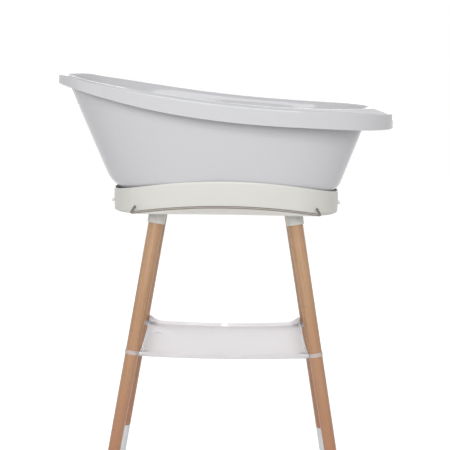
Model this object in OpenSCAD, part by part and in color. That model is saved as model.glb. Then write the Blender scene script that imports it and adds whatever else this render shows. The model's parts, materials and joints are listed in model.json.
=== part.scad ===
// Baby bathtub on a four-legged stand with a shelf and a towel rail.
// Head end at -X, front at -Y, floor at z = 0, origin on the floor below the middle.

/* [Tub] */
// Length of the tub over its rim
tub_length = 810; // [700:1:900]
// Width of the tub over its rim
tub_width = 460; // [420:1:520]
// Height of the tub's underside above the floor
tub_z = 778; // [740:1:800]
// Height of the rim's crest above the underside at the foot end
rim_rise = 211; // [160:1:260]
// How much higher the rim's crest is at the head end
head_rise = 70; // [20:1:100]
// Wall thickness of the tub
tub_wall = 3; // [2:0.1:4]
// Distance from the head end of the rim to the top of the wall
head_ledge = 16; // [12:1:30]
// Distance from the foot end of the rim to the top of the wall
foot_ledge = 61; // [30:1:80]
// Distance from the side of the rim to the top of the wall
side_ledge = 27; // [20:1:40]
// Distance from the head end of the rim to the foot of the wall
head_slope = 130; // [115:1:150]
// Distance from the foot end of the rim to the foot of the wall
foot_slope = 136; // [120:1:160]
// Distance from the side of the rim to the foot of the wall
side_slope = 77; // [70:1:90]
// How far the rim falls from its crest to its edge
rim_drop = 9; // [4:0.5:16]
// How far the rim falls to its edge at the foot end
foot_drop = 20; // [10:0.5:30]
// Depth of the skirt below the crest at the head end
skirt_head = 30; // [22:1:40]
// Depth of the skirt below the crest at mid length
skirt_middle = 42; // [34:1:50]
// Depth of the skirt below the crest at the foot end
skirt_foot = 49; // [42:1:60]
// Radius of the rim's outer edge
rim_edge = 4; // [2:0.5:7]
// Radius of the roll from the rim into the tub
crest_roll = 9; // [5:0.5:12]

/* [Tub corners] */
// Height of the rounded corner at the head
head_corner_rise = 48; // [30:1:60]
// Reach of the rounded corner at the head
head_corner_reach = 60; // [40:1:62]
// Height of the rounded corner at the foot
foot_corner_rise = 30; // [20:1:50]
// Reach of the rounded corner at the foot
foot_corner_reach = 40; // [30:1:50]
// Height of the rounded corner at the sides
side_corner_rise = 36; // [20:1:50]
// Reach of the rounded corner at the sides
side_corner_reach = 34; // [20:1:38]

/* [Drain] */
// Distance of the drain from the foot end of the opening in the stand's plate
drain_inset = 45; // [36:1:80]
// Diameter of the drain's flange inside the tub
drain_flange_d = 52; // [46:1:60]
// Thickness of the drain's flange
drain_flange_t = 2.5; // [2:0.1:4]
// Diameter of the threaded sleeve through the tub
drain_sleeve_d = 33.6; // [30:0.2:38]
// Diameter of the hose spigot
spigot_d = 30; // [26:0.5:30]
// Diameter of the drain's bore
drain_bore_d = 25; // [20:0.5:25]
// Thickness of the drain's rubber seal
drain_seal_t = 2.5; // [1.5:0.5:4]
// Height of the drain's nut
drain_nut_h = 8; // [6:0.5:10]
// Width of the drain's nut over its corners
drain_nut_d = 48; // [44:1:56]
// Length of the hose spigot below the nut
spigot_l = 15; // [10:0.5:18]
// Height of the plug's grip
grip_h = 12; // [8:0.5:16]

/* [Apron] */
// How far the apron's ends stand out from the foot of the tub's walls
apron_end_set = 2; // [0:0.5:5]
// How far the apron's sides stand out from the foot of the tub's walls
apron_side_set = 17; // [15:1:24]
// How far the apron stands out from the corners of the tub's foot
apron_corner_set = 14.3; // [12:0.1:18]
// Wall thickness of the apron
apron_wall = 3; // [2:0.1:3.6]
// Height of the apron's top edge above the tub's underside, at mid length
apron_top = 45; // [36:1:56]
// How much lower that edge is at the ends
apron_top_fall = 38; // [28:1:38]
// Depth of the apron's lower edge below the tub's underside, at mid length
apron_bottom = 13; // [8:1:16]
// How much lower that edge is at the ends
apron_bottom_fall = 33; // [24:1:36]

/* [Base frame] */
// Depth of the plate's underside below the tub's underside
plate_drop = 29; // [27:0.5:31]
// Thickness of the plate
plate_t = 3.5; // [3:0.1:4.5]
// Wall thickness of the rim around the plate
frame_wall = 2.5; // [2:0.1:3]
// Gap between the frame and the apron
frame_gap = 0.3; // [0.2:0.05:0.5]
// Depth of the frame's lower edge below the tub's underside, at mid length
frame_bottom = 32; // [30:0.5:34]
// How much lower that edge is at the ends
frame_bottom_fall = 14; // [8:1:16]
// Distance of the opening in the plate from the apron's ends
plate_margin_x = 79; // [72:1:92]
// Distance of the opening in the plate from the apron's sides
plate_margin_y = 122; // [118:1:130]
// Diameter of a support pad
pad_d = 22; // [16:1:24]
// Thickness of a support pad
pad_t = 2.5; // [2:0.5:4]

/* [Latches] */
// Width of a latch
latch_w = 52; // [44:1:56]
// Height of a latch's flap
latch_h = 21; // [18:0.5:22]
// How far the finger lip stands out
lip_reach = 6; // [4:0.5:8]
// Thickness of the finger lip
lip_t = 4; // [3:0.5:5]
// Diameter of the hinge pin
pin_d = 3; // [2.5:0.1:3.5]
// Diameter of the hinge barrel
barrel_d = 7; // [6:0.1:7.4]
// Diameter of the spring's wire
spring_wire_d = 1.2; // [0.8:0.1:1.4]

/* [Towel rail] */
// Diameter of the wire
rail_d = 5; // [4:0.1:5.5]
// Distance of the wire in front of the apron
rail_reach = 35; // [25:1:50]
// Distance of the wire's bends from the apron's ends
rail_inset = 60; // [54:1:72]
// Depth of the wire below the tub's underside, at mid length
rail_drop = 6; // [0:0.5:8]
// How much lower the wire is at its bends
rail_fall = 15; // [12:0.5:15.5]
// Radius of the bends, to the middle of the wire
rail_bend = 9; // [6:0.5:14]

/* [Legs] */
// Distance of the legs' tops from the apron's ends
leg_inset_x = 114.3; // [109:0.1:122]
// Distance of the legs' tops from the apron's sides
leg_inset_y = 97.1; // [94:0.1:102]
// How far the feet stand out from the legs' tops, along the tub
splay_x = 129; // [100:1:150]
// How far the feet stand out from the legs' tops, across the tub
splay_y = 141.3; // [115:0.1:160]
// Diameter of a leg at its socket
leg_d = 33.5; // [30:0.5:35]
// Diameter of a leg at the floor
leg_foot_d = 27; // [25:0.5:30]
// Height of a foot cap's upper edge
cap_h = 87; // [60:1:110]
// Diameter of the spigot that carries the cap
cap_spigot_d = 20; // [16:0.5:21]
// Thickness of the rubber pad under a cap
foot_pad_t = 2; // [1.5:0.5:4]

/* [Sockets] */
// Length of a socket below the plate
socket_l = 41; // [36:1:48]
// Wall thickness of a socket
socket_wall = 2.5; // [2:0.1:3.2]
// Diameter of the flange under the plate
flange_d = 64; // [60:1:66]
// Thickness of the flange
flange_t = 3.5; // [3:0.1:4]

/* [Shelf] */
// Height of the shelf's underside
shelf_z = 398; // [340:1:460]
// Thickness of the shelf
shelf_t = 2.5; // [2:0.1:4]
// Height of the shelf's lip over its underside
shelf_lip_h = 11; // [8:0.5:18]
// Thickness of the lip
shelf_lip_t = 2.2; // [1.6:0.1:3]
// How far the shelf's side edges stand in from the legs' axes
shelf_side_set = 20; // [18:1:29]
// How far its front edge stands out from the front legs' axes, at mid length
shelf_front_set = 22.2; // [12:0.1:28]
// How far its back edge stands in from the back legs' axes, at mid length
shelf_back_set = 33.8; // [18:0.1:42]
// Width of the channel across the shelf
channel_w = 22; // [14:1:30]
// Depth of the channel and the recesses
channel_depth = 1; // [0.5:0.1:1.4]
// Height of a clip's ring
clip_h = 9.5; // [8:0.5:14]
// Wall thickness of a clip's ring
clip_wall = 1.8; // [1.4:0.1:2.6]
// Thickness of the tongue under the shelf
tongue_t = 2.5; // [2:0.1:3.5]

/* [Hidden] */

// Colours
TUB_GREY = [0.84, 0.84, 0.85];
APRON_WHITE = [0.93, 0.93, 0.91];
FRAME_WHITE = [0.88, 0.87, 0.86];
SHELF_WHITE = [0.93, 0.92, 0.93];
BEECH = [0.76, 0.60, 0.46];
CAP_WHITE = [0.84, 0.86, 0.87];
STEEL = [0.45, 0.43, 0.42];
ZINC = [0.72, 0.72, 0.73];
RUBBER = [0.35, 0.35, 0.36];

// How far a cut runs past what it cuts
over = 1;
// Gap around a screw, a pin in its frame, and a fixed fit
screw_gap = 0.1;
pin_gap = 0.02;
fit_gap = 0.15;
// Running gap of a hinge, and the gap between pieces that move apart
hinge_gap = 0.08;
run_gap = 0.3;
// Smoothness of round pieces
fine = 96;
small = 40;
broad = 720;

// Tub outlines: reach to the head, to the foot and to the side, and roundness
half_length = tub_length / 2;
half_width = tub_width / 2;
rim_form = [half_length, half_length, half_width];
top_form = [half_length - head_ledge, half_length - foot_ledge, half_width - side_ledge];
base_form = [half_length - head_slope, half_length - foot_slope, half_width - side_slope];
rim_round = 2.6;
top_round = 2.45;
base_round = 2.4;
top_taper_share = 0.07;
tub_steps = 84;
crest_shares = [1.25, 2.8];
skirt_start_share = -0.81;
skirt_end_share = 0.17;
foot_start_share = 0.37;
roll_shares = [1, 0.62, 0.28];
corner_shares = [1, 0.78, 0.52, 0.26, 0];
underside_share = 1.4;
round_share = 0.3;

// Apron and frame
apron_a = (base_form[0] + base_form[1]) / 2 + apron_end_set;
corner_share = pow(0.5, 1 / base_round);
corner_in = apron_a - corner_share * (base_form[0] + base_form[1]) / 2;
corner_out = corner_share * base_form[2] + apron_corner_set;
apron_end_r = rise_of_arc(corner_out, corner_in);
side_step = 5;
apron_b = max(base_form[2] + apron_side_set, apron_end_r + side_step);
frame_inset = apron_wall + frame_gap;
plate_z = tub_z - plate_drop;
plate_opening_l = 2 * (apron_a - plate_margin_x);
plate_opening_w = 2 * (apron_b - plate_margin_y);
drain_x = plate_opening_l / 2 - drain_inset;
frame_top_drop = 15;
apron_screw_d = 3.5;
apron_screw_grip = 2.2;
apron_screw_angle = 30;
apron_screw_low = 16;
apron_screw_high = 4;
screw_head_share = 2;
screw_head_h_share = 0.6;
nut_share = 2;
nut_h_share = 0.8;
post_share = 1.15;

// Catches under the tub
catch_inset = 50;
catch_x = apron_a - catch_inset;
catch_t = 3;
catch_w = 28;
catch_ledge = 6.5;

// Rail
rail_half = apron_a - rail_inset;
rail_y = apron_b + rail_reach;
boss_w = 16;
boss_h = 14;
boss_rest = 5;
boss_y = sqrt(
    pow(apron_end_r - frame_inset - frame_wall, 2) - pow(rail_half + boss_w / 2 - apron_a + apron_end_r, 2)
) - boss_rest;
rail_hole_gap = 0.2;
rail_z = tub_z - rail_drop;
rail_end_z = rail_z - rail_fall;

// Latches
latch_gap = 1;
latch_top_gap = 2;
latch_drop = 6;
latch_top = tub_z - latch_drop;
latch_bottom = latch_top - latch_h;
pin_inset = 6;
pin_drop = 4.5;
pin_end = 0.5;
pin_x = apron_a - apron_wall - pin_inset;
pin_z = latch_top - pin_drop;
ear_t = 3;
ear_reach = 10;
ear_rise = 4;
pin_l = latch_w + 2 * (latch_gap + ear_t + pin_end);
hook_w = 18;
knuckle_gap = 3;
knuckle_margin = 2;
knuckle_inner = hook_w / 2 + knuckle_gap;
knuckle_outer = latch_w / 2 - knuckle_margin;
hook_t = 3.5;
hook_rise = 3;
hook_gap = 0.8;
hook_z = latch_bottom + hook_rise;
hook_x = catch_x + catch_t + catch_ledge + hook_gap;
bar_t = 3;
bar_h = 4;
bar_drop = 9;
bar_z = pin_z - bar_drop;
slot_margin = 3;
spring_turns = 6.5;
spring_play = 0.8;
spring_open = 0.45;
spring_r = (pin_d + spring_wire_d) / 2 + spring_play;
spring_pitch = spring_wire_d + spring_open;
spring_leg = 7;
spring_rings = 8;
spring_sides = 6;

// Legs
leg_top_x = apron_a - leg_inset_x;
leg_top_y = apron_b - leg_inset_y;
foot_x = leg_top_x + splay_x;
foot_y = leg_top_y + splay_y;
lean_x = splay_x / plate_z;
lean_y = splay_y / plate_z;
lean = atan(norm([lean_x, lean_y]));
socket_z = plate_z - socket_l;
leg_top_gap = 9;
leg_end_z = plate_z - leg_top_gap;
socket_r = leg_d / 2 + fit_gap + socket_wall;
socket_swell = 0.8;
bolt_d = 5.5;
bolt_head_d = 10;
bolt_head_h = 3;
bolt_reach = 28;
bolt_rise = 18.5;
bolt_z = socket_z + bolt_rise;
socket_screw_d = 5;
socket_screw_inset = 6;
socket_screw_r = flange_d / 2 - socket_screw_inset;
cap_spigot_z = 30;

// Shelf
clip_rise = 7;
clip_z = shelf_z + clip_rise;
clip_leg_r = leg_radius(clip_z);
clip_r = clip_leg_r + fit_gap + clip_wall;
tray_gap = 0.4;
shelf_half = leg_x(clip_z) - shelf_side_set;
shelf_front = leg_y(clip_z) + shelf_front_set;
shelf_back = leg_y(clip_z) - shelf_back_set;
corner_flare = 10;
flare_start_share = 0.72;
front_bow = 13;
back_bow = 22;
back_flare = 22;
back_flare_share = 0.83;
tray_steps = 24;
notch_w = 15;
recess_w = 26;
recess_l = 50;
recess_inset = 27;
recess_x = shelf_half - recess_inset;
recess_y = 12;
tongue_w = 18;
tongue_l = 46;
tongue_angle = 33;
shelf_screw_d = 4;
shelf_screw_h = 5;
shelf_boss_d = 9;
shelf_boss_h = 3.2;

SIDES = [-1, 1];
LEG_SIGNS = [for (x = SIDES) for (y = SIDES) [x, y]];

function lerp(a, b, share) = a + (b - a) * share;
function clamp(share) = min(1, max(0, share));
function smooth(share) = let (s = clamp(share)) s * s * (3 - 2 * s);
function rise_of_arc(half, fall) = (half * half + fall * fall) / (2 * fall);

// Height of the rim's crest over a place along the tub
function crest(x) =
    let (t = clamp((x + half_length) / tub_length))
    tub_z + rim_rise + head_rise * pow(1 - pow(t, crest_shares[0]), crest_shares[1]);
function foot_blend(x) = smooth((x / half_length - foot_start_share) / (1 - foot_start_share));
function edge_z(x) = crest(x) - lerp(rim_drop, foot_drop, foot_blend(x));
function skirt_blend(x) =
    smooth((x / half_length - skirt_start_share) / (skirt_end_share - skirt_start_share));
function skirt_z(x) =
    crest(x) - lerp(skirt_head, skirt_middle, skirt_blend(x))
    - (skirt_foot - skirt_middle) * foot_blend(x);

// Point at angle t of an egg-shaped outline, set inwards
function outline(form, roundness, taper, inset, t) =
    let (
        c = sign(cos(t)) * pow(abs(cos(t)), 2 / roundness),
        s = sign(sin(t)) * pow(abs(sin(t)), 2 / roundness),
        a = (form[0] + form[1]) / 2 - inset
    )
    [(form[1] - form[0]) / 2 + a * c, (form[2] - inset) * s * (1 - taper * c)];
function rim_at(inset, t) = outline(rim_form, rim_round, 0, inset, t);
function top_at(inset, t) = outline(top_form, top_round, top_taper_share, inset, t);
function base_at(inset, t) = outline(base_form, base_round, 0, inset, t);
function lift(p, z) = [p[0], p[1], z];

// Value that changes from the sides to the head or foot
function around(side, head, foot, t) =
    lerp(side, cos(t) < 0 ? head : foot, cos(t) * cos(t));

// Point on the straight part of the wall, a height above its foot
function wall_at(inset, height, t) =
    let (
        low = base_at(inset, t),
        high = top_at(inset, t),
        floor_z = tub_z + inset,
        top_z = crest(high[0]),
        share = height / (top_z - floor_z)
    )
    lift(lerp(low, high, share), lerp(floor_z, top_z, share));
function bend(a, b, c, share) =
    a * (1 - share) * (1 - share) + b * 2 * share * (1 - share) + c * share * share;

// Rounded corner between the wall and the bottom: share 0 is on the wall, 1 on the bottom
function corner_at(inset, share, t) =
    let (
        up = around(side_corner_rise, head_corner_rise, foot_corner_rise, t) - inset,
        reach = around(side_corner_reach, head_corner_reach, foot_corner_reach, t) - inset
    )
    bend(
        wall_at(inset, up, t),
        lift(base_at(inset, t), tub_z + inset),
        lift(base_at(inset + reach, t), tub_z + inset),
        share
    );

// Roll from the rim into the tub: share 0 is on the inner wall, 1 on the rim
function roll_at(share, t) =
    let (
        high = top_at(tub_wall, t),
        out = top_at(-crest_roll, t),
        height = crest(high[0]) - tub_z - tub_wall - crest_roll
    )
    bend(wall_at(tub_wall, height, t), lift(high, crest(high[0])), lift(out, crest(out[0]) - over), share);

// One closed section of the tub's wall at angle t, from the bottom outside to the bottom inside
function section(t) =
    let (
        top = top_at(0, t),
        inner = rim_at(tub_wall, t),
        edge = rim_at(0, t),
        shoulder = rim_at(round_share * rim_edge, t),
        flat = rim_at(rim_edge, t)
    )
    concat(
        [for (s = corner_shares) corner_at(0, s, t)],
        [
            lift(top, crest(top[0]) - underside_share * tub_wall),
            lift(inner, edge_z(inner[0]) - underside_share * tub_wall),
            lift(inner, skirt_z(inner[0])),
            lift(edge, skirt_z(edge[0])),
            lift(edge, edge_z(edge[0]) - rim_edge),
            lift(shoulder, edge_z(shoulder[0]) - round_share * rim_edge),
            lift(flat, edge_z(flat[0]))
        ],
        [for (s = roll_shares) roll_at(s, t)],
        [roll_at(0, t)],
        [for (i = [len(corner_shares) - 1 : -1 : 0]) corner_at(tub_wall, corner_shares[i], t)]
    );

module tub_form() {
    sections = [for (i = [0 : tub_steps - 1]) section(360 * i / tub_steps)];
    rings = len(sections[0]);
    middle = (base_form[1] - base_form[0]) / 2;
    points = concat(
        [for (s = sections) for (p = s) p],
        [[middle, 0, tub_z], [middle, 0, tub_z + tub_wall]]
    );
    low = tub_steps * rings;
    faces = concat(
        [
            for (i = [0 : tub_steps - 1])
            for (k = [0 : rings - 2])
            let (a = i * rings + k, b = ((i + 1) % tub_steps) * rings + k)
            each [[a, a + 1, b + 1], [a, b + 1, b]]
        ],
        [for (i = [0 : tub_steps - 1]) [low, i * rings, ((i + 1) % tub_steps) * rings]],
        [
            for (i = [0 : tub_steps - 1])
            [(i + 1) * rings - 1, low + 1, ((i + 1) % tub_steps + 1) * rings - 1]
        ]
    );
    polyhedron(points, faces);
}

// Catches welded to the underside of the tub, one for each latch
module tub_catches() {
    color(TUB_GREY)
    for (side = [0, 1]) mirror([side, 0, 0])
    translate([catch_x, -catch_w / 2, plate_z]) {
        cube([catch_t, catch_w, plate_drop]);
        cube([catch_t + catch_ledge, catch_w, catch_t]);
    }
}

module tub_shell() {
    color(TUB_GREY)
    difference() {
        tub_form();
        translate([drain_x, 0, tub_z - over])
        cylinder(d = drain_sleeve_d + 2 * screw_gap, h = tub_wall + 2 * over, $fn = fine);
    }
}

drain_top = tub_z + tub_wall + drain_flange_t;
nut_z = tub_z - drain_seal_t - drain_nut_h;
spigot_z = nut_z - spigot_l;

module drain_outlet() {
    color(CAP_WHITE)
    translate([drain_x, 0, 0])
    difference() {
        union() {
            translate([0, 0, tub_z + tub_wall])
            cylinder(d = drain_flange_d, h = drain_flange_t, $fn = fine);
            translate([0, 0, nut_z])
            cylinder(d = drain_sleeve_d, h = tub_z + tub_wall - nut_z, $fn = fine);
            translate([0, 0, spigot_z])
            cylinder(d = spigot_d, h = spigot_l, $fn = fine);
        }
        translate([0, 0, spigot_z - over])
        cylinder(d = drain_bore_d, h = drain_top - spigot_z + 2 * over, $fn = fine);
    }
}

module drain_ring(z, h, d, sides) {
    translate([drain_x, 0, z])
    difference() {
        cylinder(d = d, h = h, $fn = sides);
        translate([0, 0, -over])
        cylinder(d = drain_sleeve_d + 2 * screw_gap, h = h + 2 * over, $fn = fine);
    }
}

module drain_seal() {
    color(RUBBER) drain_ring(tub_z - drain_seal_t, drain_seal_t, drain_nut_d - over, fine);
}

module drain_nut() {
    color(CAP_WHITE) drain_ring(nut_z, drain_nut_h, drain_nut_d, 8);
}

plug_r = drain_bore_d / 2 - run_gap;
plug_reach = 4;
plug_overlap = 4;
plug_depth = drain_flange_t + tub_wall + plug_reach;
plug_cap_r = plug_r + plug_overlap;
plug_cap_t = 2;
plug_seal_t = 1.6;
plug_seal_depth = 2;
grip_t = 4;

module plug_groove(extra) {
    translate([drain_x, 0, drain_top - plug_depth / 2 - extra])
    difference() {
        cylinder(r = plug_r, h = plug_seal_t + 2 * extra, $fn = fine);
        translate([0, 0, -over])
        cylinder(r = plug_r - plug_seal_depth - extra, h = plug_seal_t + 2 * over + 2 * extra, $fn = fine);
    }
}

module drain_plug() {
    color(TUB_GREY)
    difference() {
        translate([drain_x, 0, drain_top]) {
            translate([0, 0, -plug_depth]) cylinder(r = plug_r, h = plug_depth, $fn = fine);
            cylinder(r = plug_cap_r, h = plug_cap_t, $fn = fine);
            translate([0, grip_t / 2, plug_cap_t])
            rotate([90, 0, 0])
            linear_extrude(grip_t)
            difference() {
                translate([-grip_h / 2, 0]) square([grip_h, grip_h / 2]);
                circle(r = grip_h / 4, $fn = small);
            }
            translate([0, grip_t / 2, plug_cap_t + grip_h / 2])
            rotate([90, 0, 0])
            linear_extrude(grip_t)
            intersection() {
                circle(r = grip_h / 2, $fn = small);
                translate([-grip_h, -over / 2]) square([2 * grip_h, grip_h]);
            }
        }
        plug_groove(0);
    }
}

module plug_seal() {
    color(RUBBER) plug_groove(-pin_gap);
}

// Four-arc oval of the apron, set inwards
end_x = apron_a - apron_end_r;
side_r = (pow(end_x, 2) + pow(apron_b, 2) - pow(apron_end_r, 2)) / (2 * (apron_b - apron_end_r));
side_y = side_r - apron_b;
meet_share = side_r / (side_r - apron_end_r);

module oval(inset) {
    intersection() {
        translate([0, -side_y]) circle(r = side_r - inset, $fn = broad);
        translate([0, side_y]) circle(r = side_r - inset, $fn = broad);
        square([2 * end_x * meet_share, 2 * (apron_b + lip_reach)], center = true);
    }
    for (s = SIDES) {
        translate([s * end_x, 0]) circle(r = apron_end_r - inset, $fn = broad / 2);
    }
}

module oval_ring(inset, wall) {
    difference() {
        oval(inset);
        oval(inset + wall);
    }
}

// Everything below an arch that is z high at mid length and falls towards the ends
module below_arch(z, fall) {
    r = rise_of_arc(apron_a, fall);
    translate([0, 0, z - r])
    rotate([90, 0, 0])
    cylinder(r = r, h = 2 * (apron_b + over), center = true, $fn = 2 * broad);
}

band_z = tub_z - apron_bottom - apron_bottom_fall - over;
band_h = apron_top + apron_bottom + apron_bottom_fall + 2 * over;

module latch_window(margin) {
    translate([end_x, -latch_w / 2 - margin, latch_bottom - margin])
    cube([apron_end_r + over, latch_w + 2 * margin, latch_h + margin + latch_top_gap]);
}

module rail_hole() {
    translate([rail_half, 0, rail_end_z])
    rotate([90, 0, 0])
    cylinder(d = rail_d + 2 * rail_hole_gap, h = rail_y, $fn = small);
}

// Places the screws that join the apron and the frame, each pointing outwards from the frame's wall
module at_apron_screws() {
    r = apron_end_r - frame_inset - frame_wall;
    for (s = SIDES) for (a = SIDES) {
        translate([s * end_x, 0, tub_z - apron_screw_low])
        rotate([0, 0, 90 - s * 90 + a * apron_screw_angle])
        translate([r, 0, 0])
        rotate([0, 90, 0])
        children();
    }
    for (a = SIDES) {
        translate([0, a * (apron_b - frame_inset - frame_wall), tub_z + apron_screw_high])
        rotate([-a * 90, 0, 0])
        children();
    }
}

apron_screw_l = frame_wall + frame_gap + apron_screw_grip;

module apron() {
    color(APRON_WHITE)
    difference() {
        intersection() {
            translate([0, 0, band_z]) linear_extrude(band_h) oval_ring(0, apron_wall);
            below_arch(tub_z + apron_top, apron_top_fall);
        }
        below_arch(tub_z - apron_bottom, apron_bottom_fall);
        for (side = [0, 1]) {
            mirror([side, 0, 0]) latch_window(latch_gap);
            mirror([side, 0, 0]) rail_hole();
        }
        at_apron_screws()
        cylinder(d = apron_screw_d + 2 * screw_gap, h = apron_screw_l + screw_gap, $fn = small);
    }
}

module apron_screws() {
    color(ZINC)
    at_apron_screws() {
        translate([0, 0, -over]) cylinder(d = apron_screw_d, h = apron_screw_l + over, $fn = small);
        translate([0, 0, -screw_head_h_share * apron_screw_d - screw_gap])
        cylinder(
            d = screw_head_share * apron_screw_d, h = screw_head_h_share * apron_screw_d, $fn = small
        );
    }
}

// Each pad stands right over the socket of a leg
module at_pads() {
    for (s = LEG_SIGNS) translate([s[0] * leg_top_x, s[1] * leg_top_y, 0]) children();
}

module base_frame() {
    post_top = tub_z - pad_t;
    color(FRAME_WHITE)
    difference() {
        union() {
            // Plate
            translate([0, 0, plate_z])
            linear_extrude(plate_t)
            difference() {
                oval(frame_inset);
                square([plate_opening_l - plate_opening_w, plate_opening_w], center = true);
                for (s = SIDES) {
                    translate([s * (plate_opening_l - plate_opening_w) / 2, 0])
                    circle(d = plate_opening_w, $fn = fine);
                }
            }
            // Upright rim, whose lower edge shows below the apron
            difference() {
                intersection() {
                    translate([0, 0, band_z]) linear_extrude(band_h) oval_ring(frame_inset, frame_wall);
                    below_arch(tub_z + apron_top - frame_top_drop, apron_top_fall);
                }
                below_arch(tub_z - frame_bottom, frame_bottom_fall);
            }
            // Posts that carry the pads
            at_pads()
            translate([0, 0, plate_z]) cylinder(d = post_share * pad_d, h = post_top - plate_z, $fn = fine);
            for (side = [0, 1]) mirror([side, 0, 0]) {
                // Ears that hold the latch's pin, and the bar that its spring rests on
                for (s = [0, 1]) mirror([0, s, 0]) {
                    translate([0, 0, plate_z])
                    linear_extrude(pin_z + ear_rise - plate_z)
                    intersection() {
                        oval(frame_inset);
                        translate([pin_x - ear_reach, latch_w / 2 + latch_gap]) square([apron_b, ear_t]);
                    }
                }
                translate([pin_x - spring_r - spring_wire_d / 2 - run_gap - bar_t, -latch_w / 2 - ear_t, bar_z])
                cube([bar_t, latch_w + 2 * ear_t, bar_h]);
                // Boss for the end of the rail
                translate([0, 0, plate_z])
                linear_extrude(boss_h)
                intersection() {
                    oval(frame_inset);
                    translate([rail_half - boss_w / 2, -apron_b]) square([boss_w, apron_b - boss_y]);
                }
            }
        }
        at_apron_screws()
        translate([0, 0, -over])
        cylinder(d = apron_screw_d + 2 * screw_gap, h = frame_wall + 2 * over, $fn = small);
        to_corners() at_flange_screws()
        translate([0, 0, -over]) cylinder(d = socket_screw_d + 2 * screw_gap, h = plate_drop, $fn = small);
        for (side = [0, 1]) mirror([side, 0, 0]) {
            rail_hole();
            // Way out for the latch, and the slot that the tub's catch drops through
            translate([pin_x, -latch_w / 2 - latch_gap, latch_bottom - 2 * latch_gap])
            cube([apron_end_r, latch_w + 2 * latch_gap, plate_drop]);
            translate([catch_x - slot_margin, -latch_w / 2 - latch_gap, plate_z - over])
            cube([pin_x + over - catch_x + slot_margin, latch_w + 2 * latch_gap, plate_t + 2 * over]);
            translate([pin_x, 0, pin_z])
            rotate([90, 0, 0])
            cylinder(d = pin_d + 2 * pin_gap, h = pin_l + 2 * over, center = true, $fn = small);
        }
    }
}

module support_pads() {
    color(RUBBER) at_pads() translate([0, 0, tub_z - pad_t]) cylinder(d = pad_d, h = pad_t, $fn = fine);
}

rail_r = rise_of_arc(rail_half, rail_fall);
rail_slope = asin((rail_half - rail_bend) / rail_r);
rail_end_y = boss_y - nut_h_share * rail_d - over;
rail_steps = 14;
bend_steps = 6;
rail_sides = 12;

// Places along the right half of the wire, each with its direction and its upright
function rail_front(a) = [
    [rail_r * sin(a), -rail_y, rail_z - rail_r + rail_r * cos(a)],
    [cos(a), 0, -sin(a)],
    [sin(a), 0, cos(a)]
];
function rail_corner(a) =
    let (
        ahead = rail_front(rail_slope)[1],
        hub = rail_front(rail_slope)[0] + [0, rail_bend, 0]
    )
    [
        hub + rail_bend * (ahead * sin(a) - [0, cos(a), 0]),
        ahead * cos(a) + [0, sin(a), 0],
        rail_front(rail_slope)[2]
    ];
function rail_end() =
    let (last = rail_corner(90))
    [[last[0][0], -rail_end_y, last[0][2]], last[1], last[2]];
function to_left(place) = [
    [-place[0][0], place[0][1], place[0][2]],
    [place[1][0], -place[1][1], -place[1][2]],
    [-place[2][0], place[2][1], place[2][2]]
];
function tube_ring(place, r, sides) =
    let (side = cross(place[1], place[2]))
    [for (k = [0 : sides - 1]) place[0] + r * (place[2] * cos(360 * k / sides) + side * sin(360 * k / sides))];

// Closed tube through rings of points
module tube(rings) {
    n = len(rings[0]);
    top = len(rings) - 1;
    faces = concat(
        [
            for (i = [0 : top - 1])
            for (k = [0 : n - 1])
            let (a = i * n + k, b = i * n + (k + 1) % n)
            each [[a, b + n, b], [a, a + n, b + n]]
        ],
        [for (k = [1 : n - 2]) [0, k, k + 1]],
        [for (k = [1 : n - 2]) [top * n, top * n + k + 1, top * n + k]]
    );
    polyhedron([for (r = rings) for (p = r) p], faces);
}

module towel_rail() {
    half = concat(
        [for (i = [1 : rail_steps]) rail_front(rail_slope * i / rail_steps)],
        [for (i = [1 : bend_steps]) rail_corner(90 * i / bend_steps)],
        [rail_end()]
    );
    places = concat(
        [for (i = [len(half) - 1 : -1 : 0]) to_left(half[i])],
        [rail_front(0)],
        half
    );
    color(STEEL) tube([for (p = places) tube_ring(p, rail_d / 2, rail_sides)]);
}

module rail_nuts() {
    color(ZINC)
    for (side = [0, 1]) mirror([side, 0, 0])
    translate([rail_half, -boss_y, rail_end_z])
    rotate([-90, 0, 0])
    difference() {
        cylinder(d = nut_share * rail_d, h = nut_h_share * rail_d, $fn = 6);
        translate([0, 0, -over])
        cylinder(d = rail_d + 2 * rail_hole_gap, h = nut_h_share * rail_d + 2 * over, $fn = small);
    }
}

module latch_form() {
    difference() {
        union() {
            // Flap, level with the apron
            intersection() {
                translate([0, 0, latch_bottom]) linear_extrude(latch_h) oval_ring(0, apron_wall);
                latch_window(0);
            }
            // Finger lip
            intersection() {
                translate([0, 0, latch_bottom])
                linear_extrude(lip_t) oval_ring(-lip_reach, lip_reach + apron_wall);
                translate([end_x, -latch_w / 2 + lip_t, latch_bottom])
                cube([apron_end_r + 2 * lip_reach, latch_w - 2 * lip_t, lip_t]);
            }
            // Hinge knuckles
            for (s = [0, 1]) mirror([0, s, 0]) {
                translate([pin_x, knuckle_outer, pin_z])
                rotate([90, 0, 0])
                cylinder(d = barrel_d, h = knuckle_outer - knuckle_inner, $fn = small);
                translate([pin_x, knuckle_inner, pin_z - barrel_d / 2])
                cube([apron_a - pin_x - apron_wall, knuckle_outer - knuckle_inner, barrel_d]);
            }
            // Hook that reaches in to the tub's catch
            translate([hook_x, -hook_w / 2, hook_z])
            cube([apron_a - apron_wall / 2 - hook_x, hook_w, hook_t]);
        }
        translate([pin_x, 0, pin_z])
        rotate([90, 0, 0])
        cylinder(d = pin_d + 2 * hinge_gap, h = latch_w, center = true, $fn = small);
    }
}

module latch_pin() {
    color(ZINC)
    translate([pin_x, 0, pin_z])
    rotate([90, 0, 0])
    cylinder(d = pin_d, h = pin_l, center = true, $fn = small);
}

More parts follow.
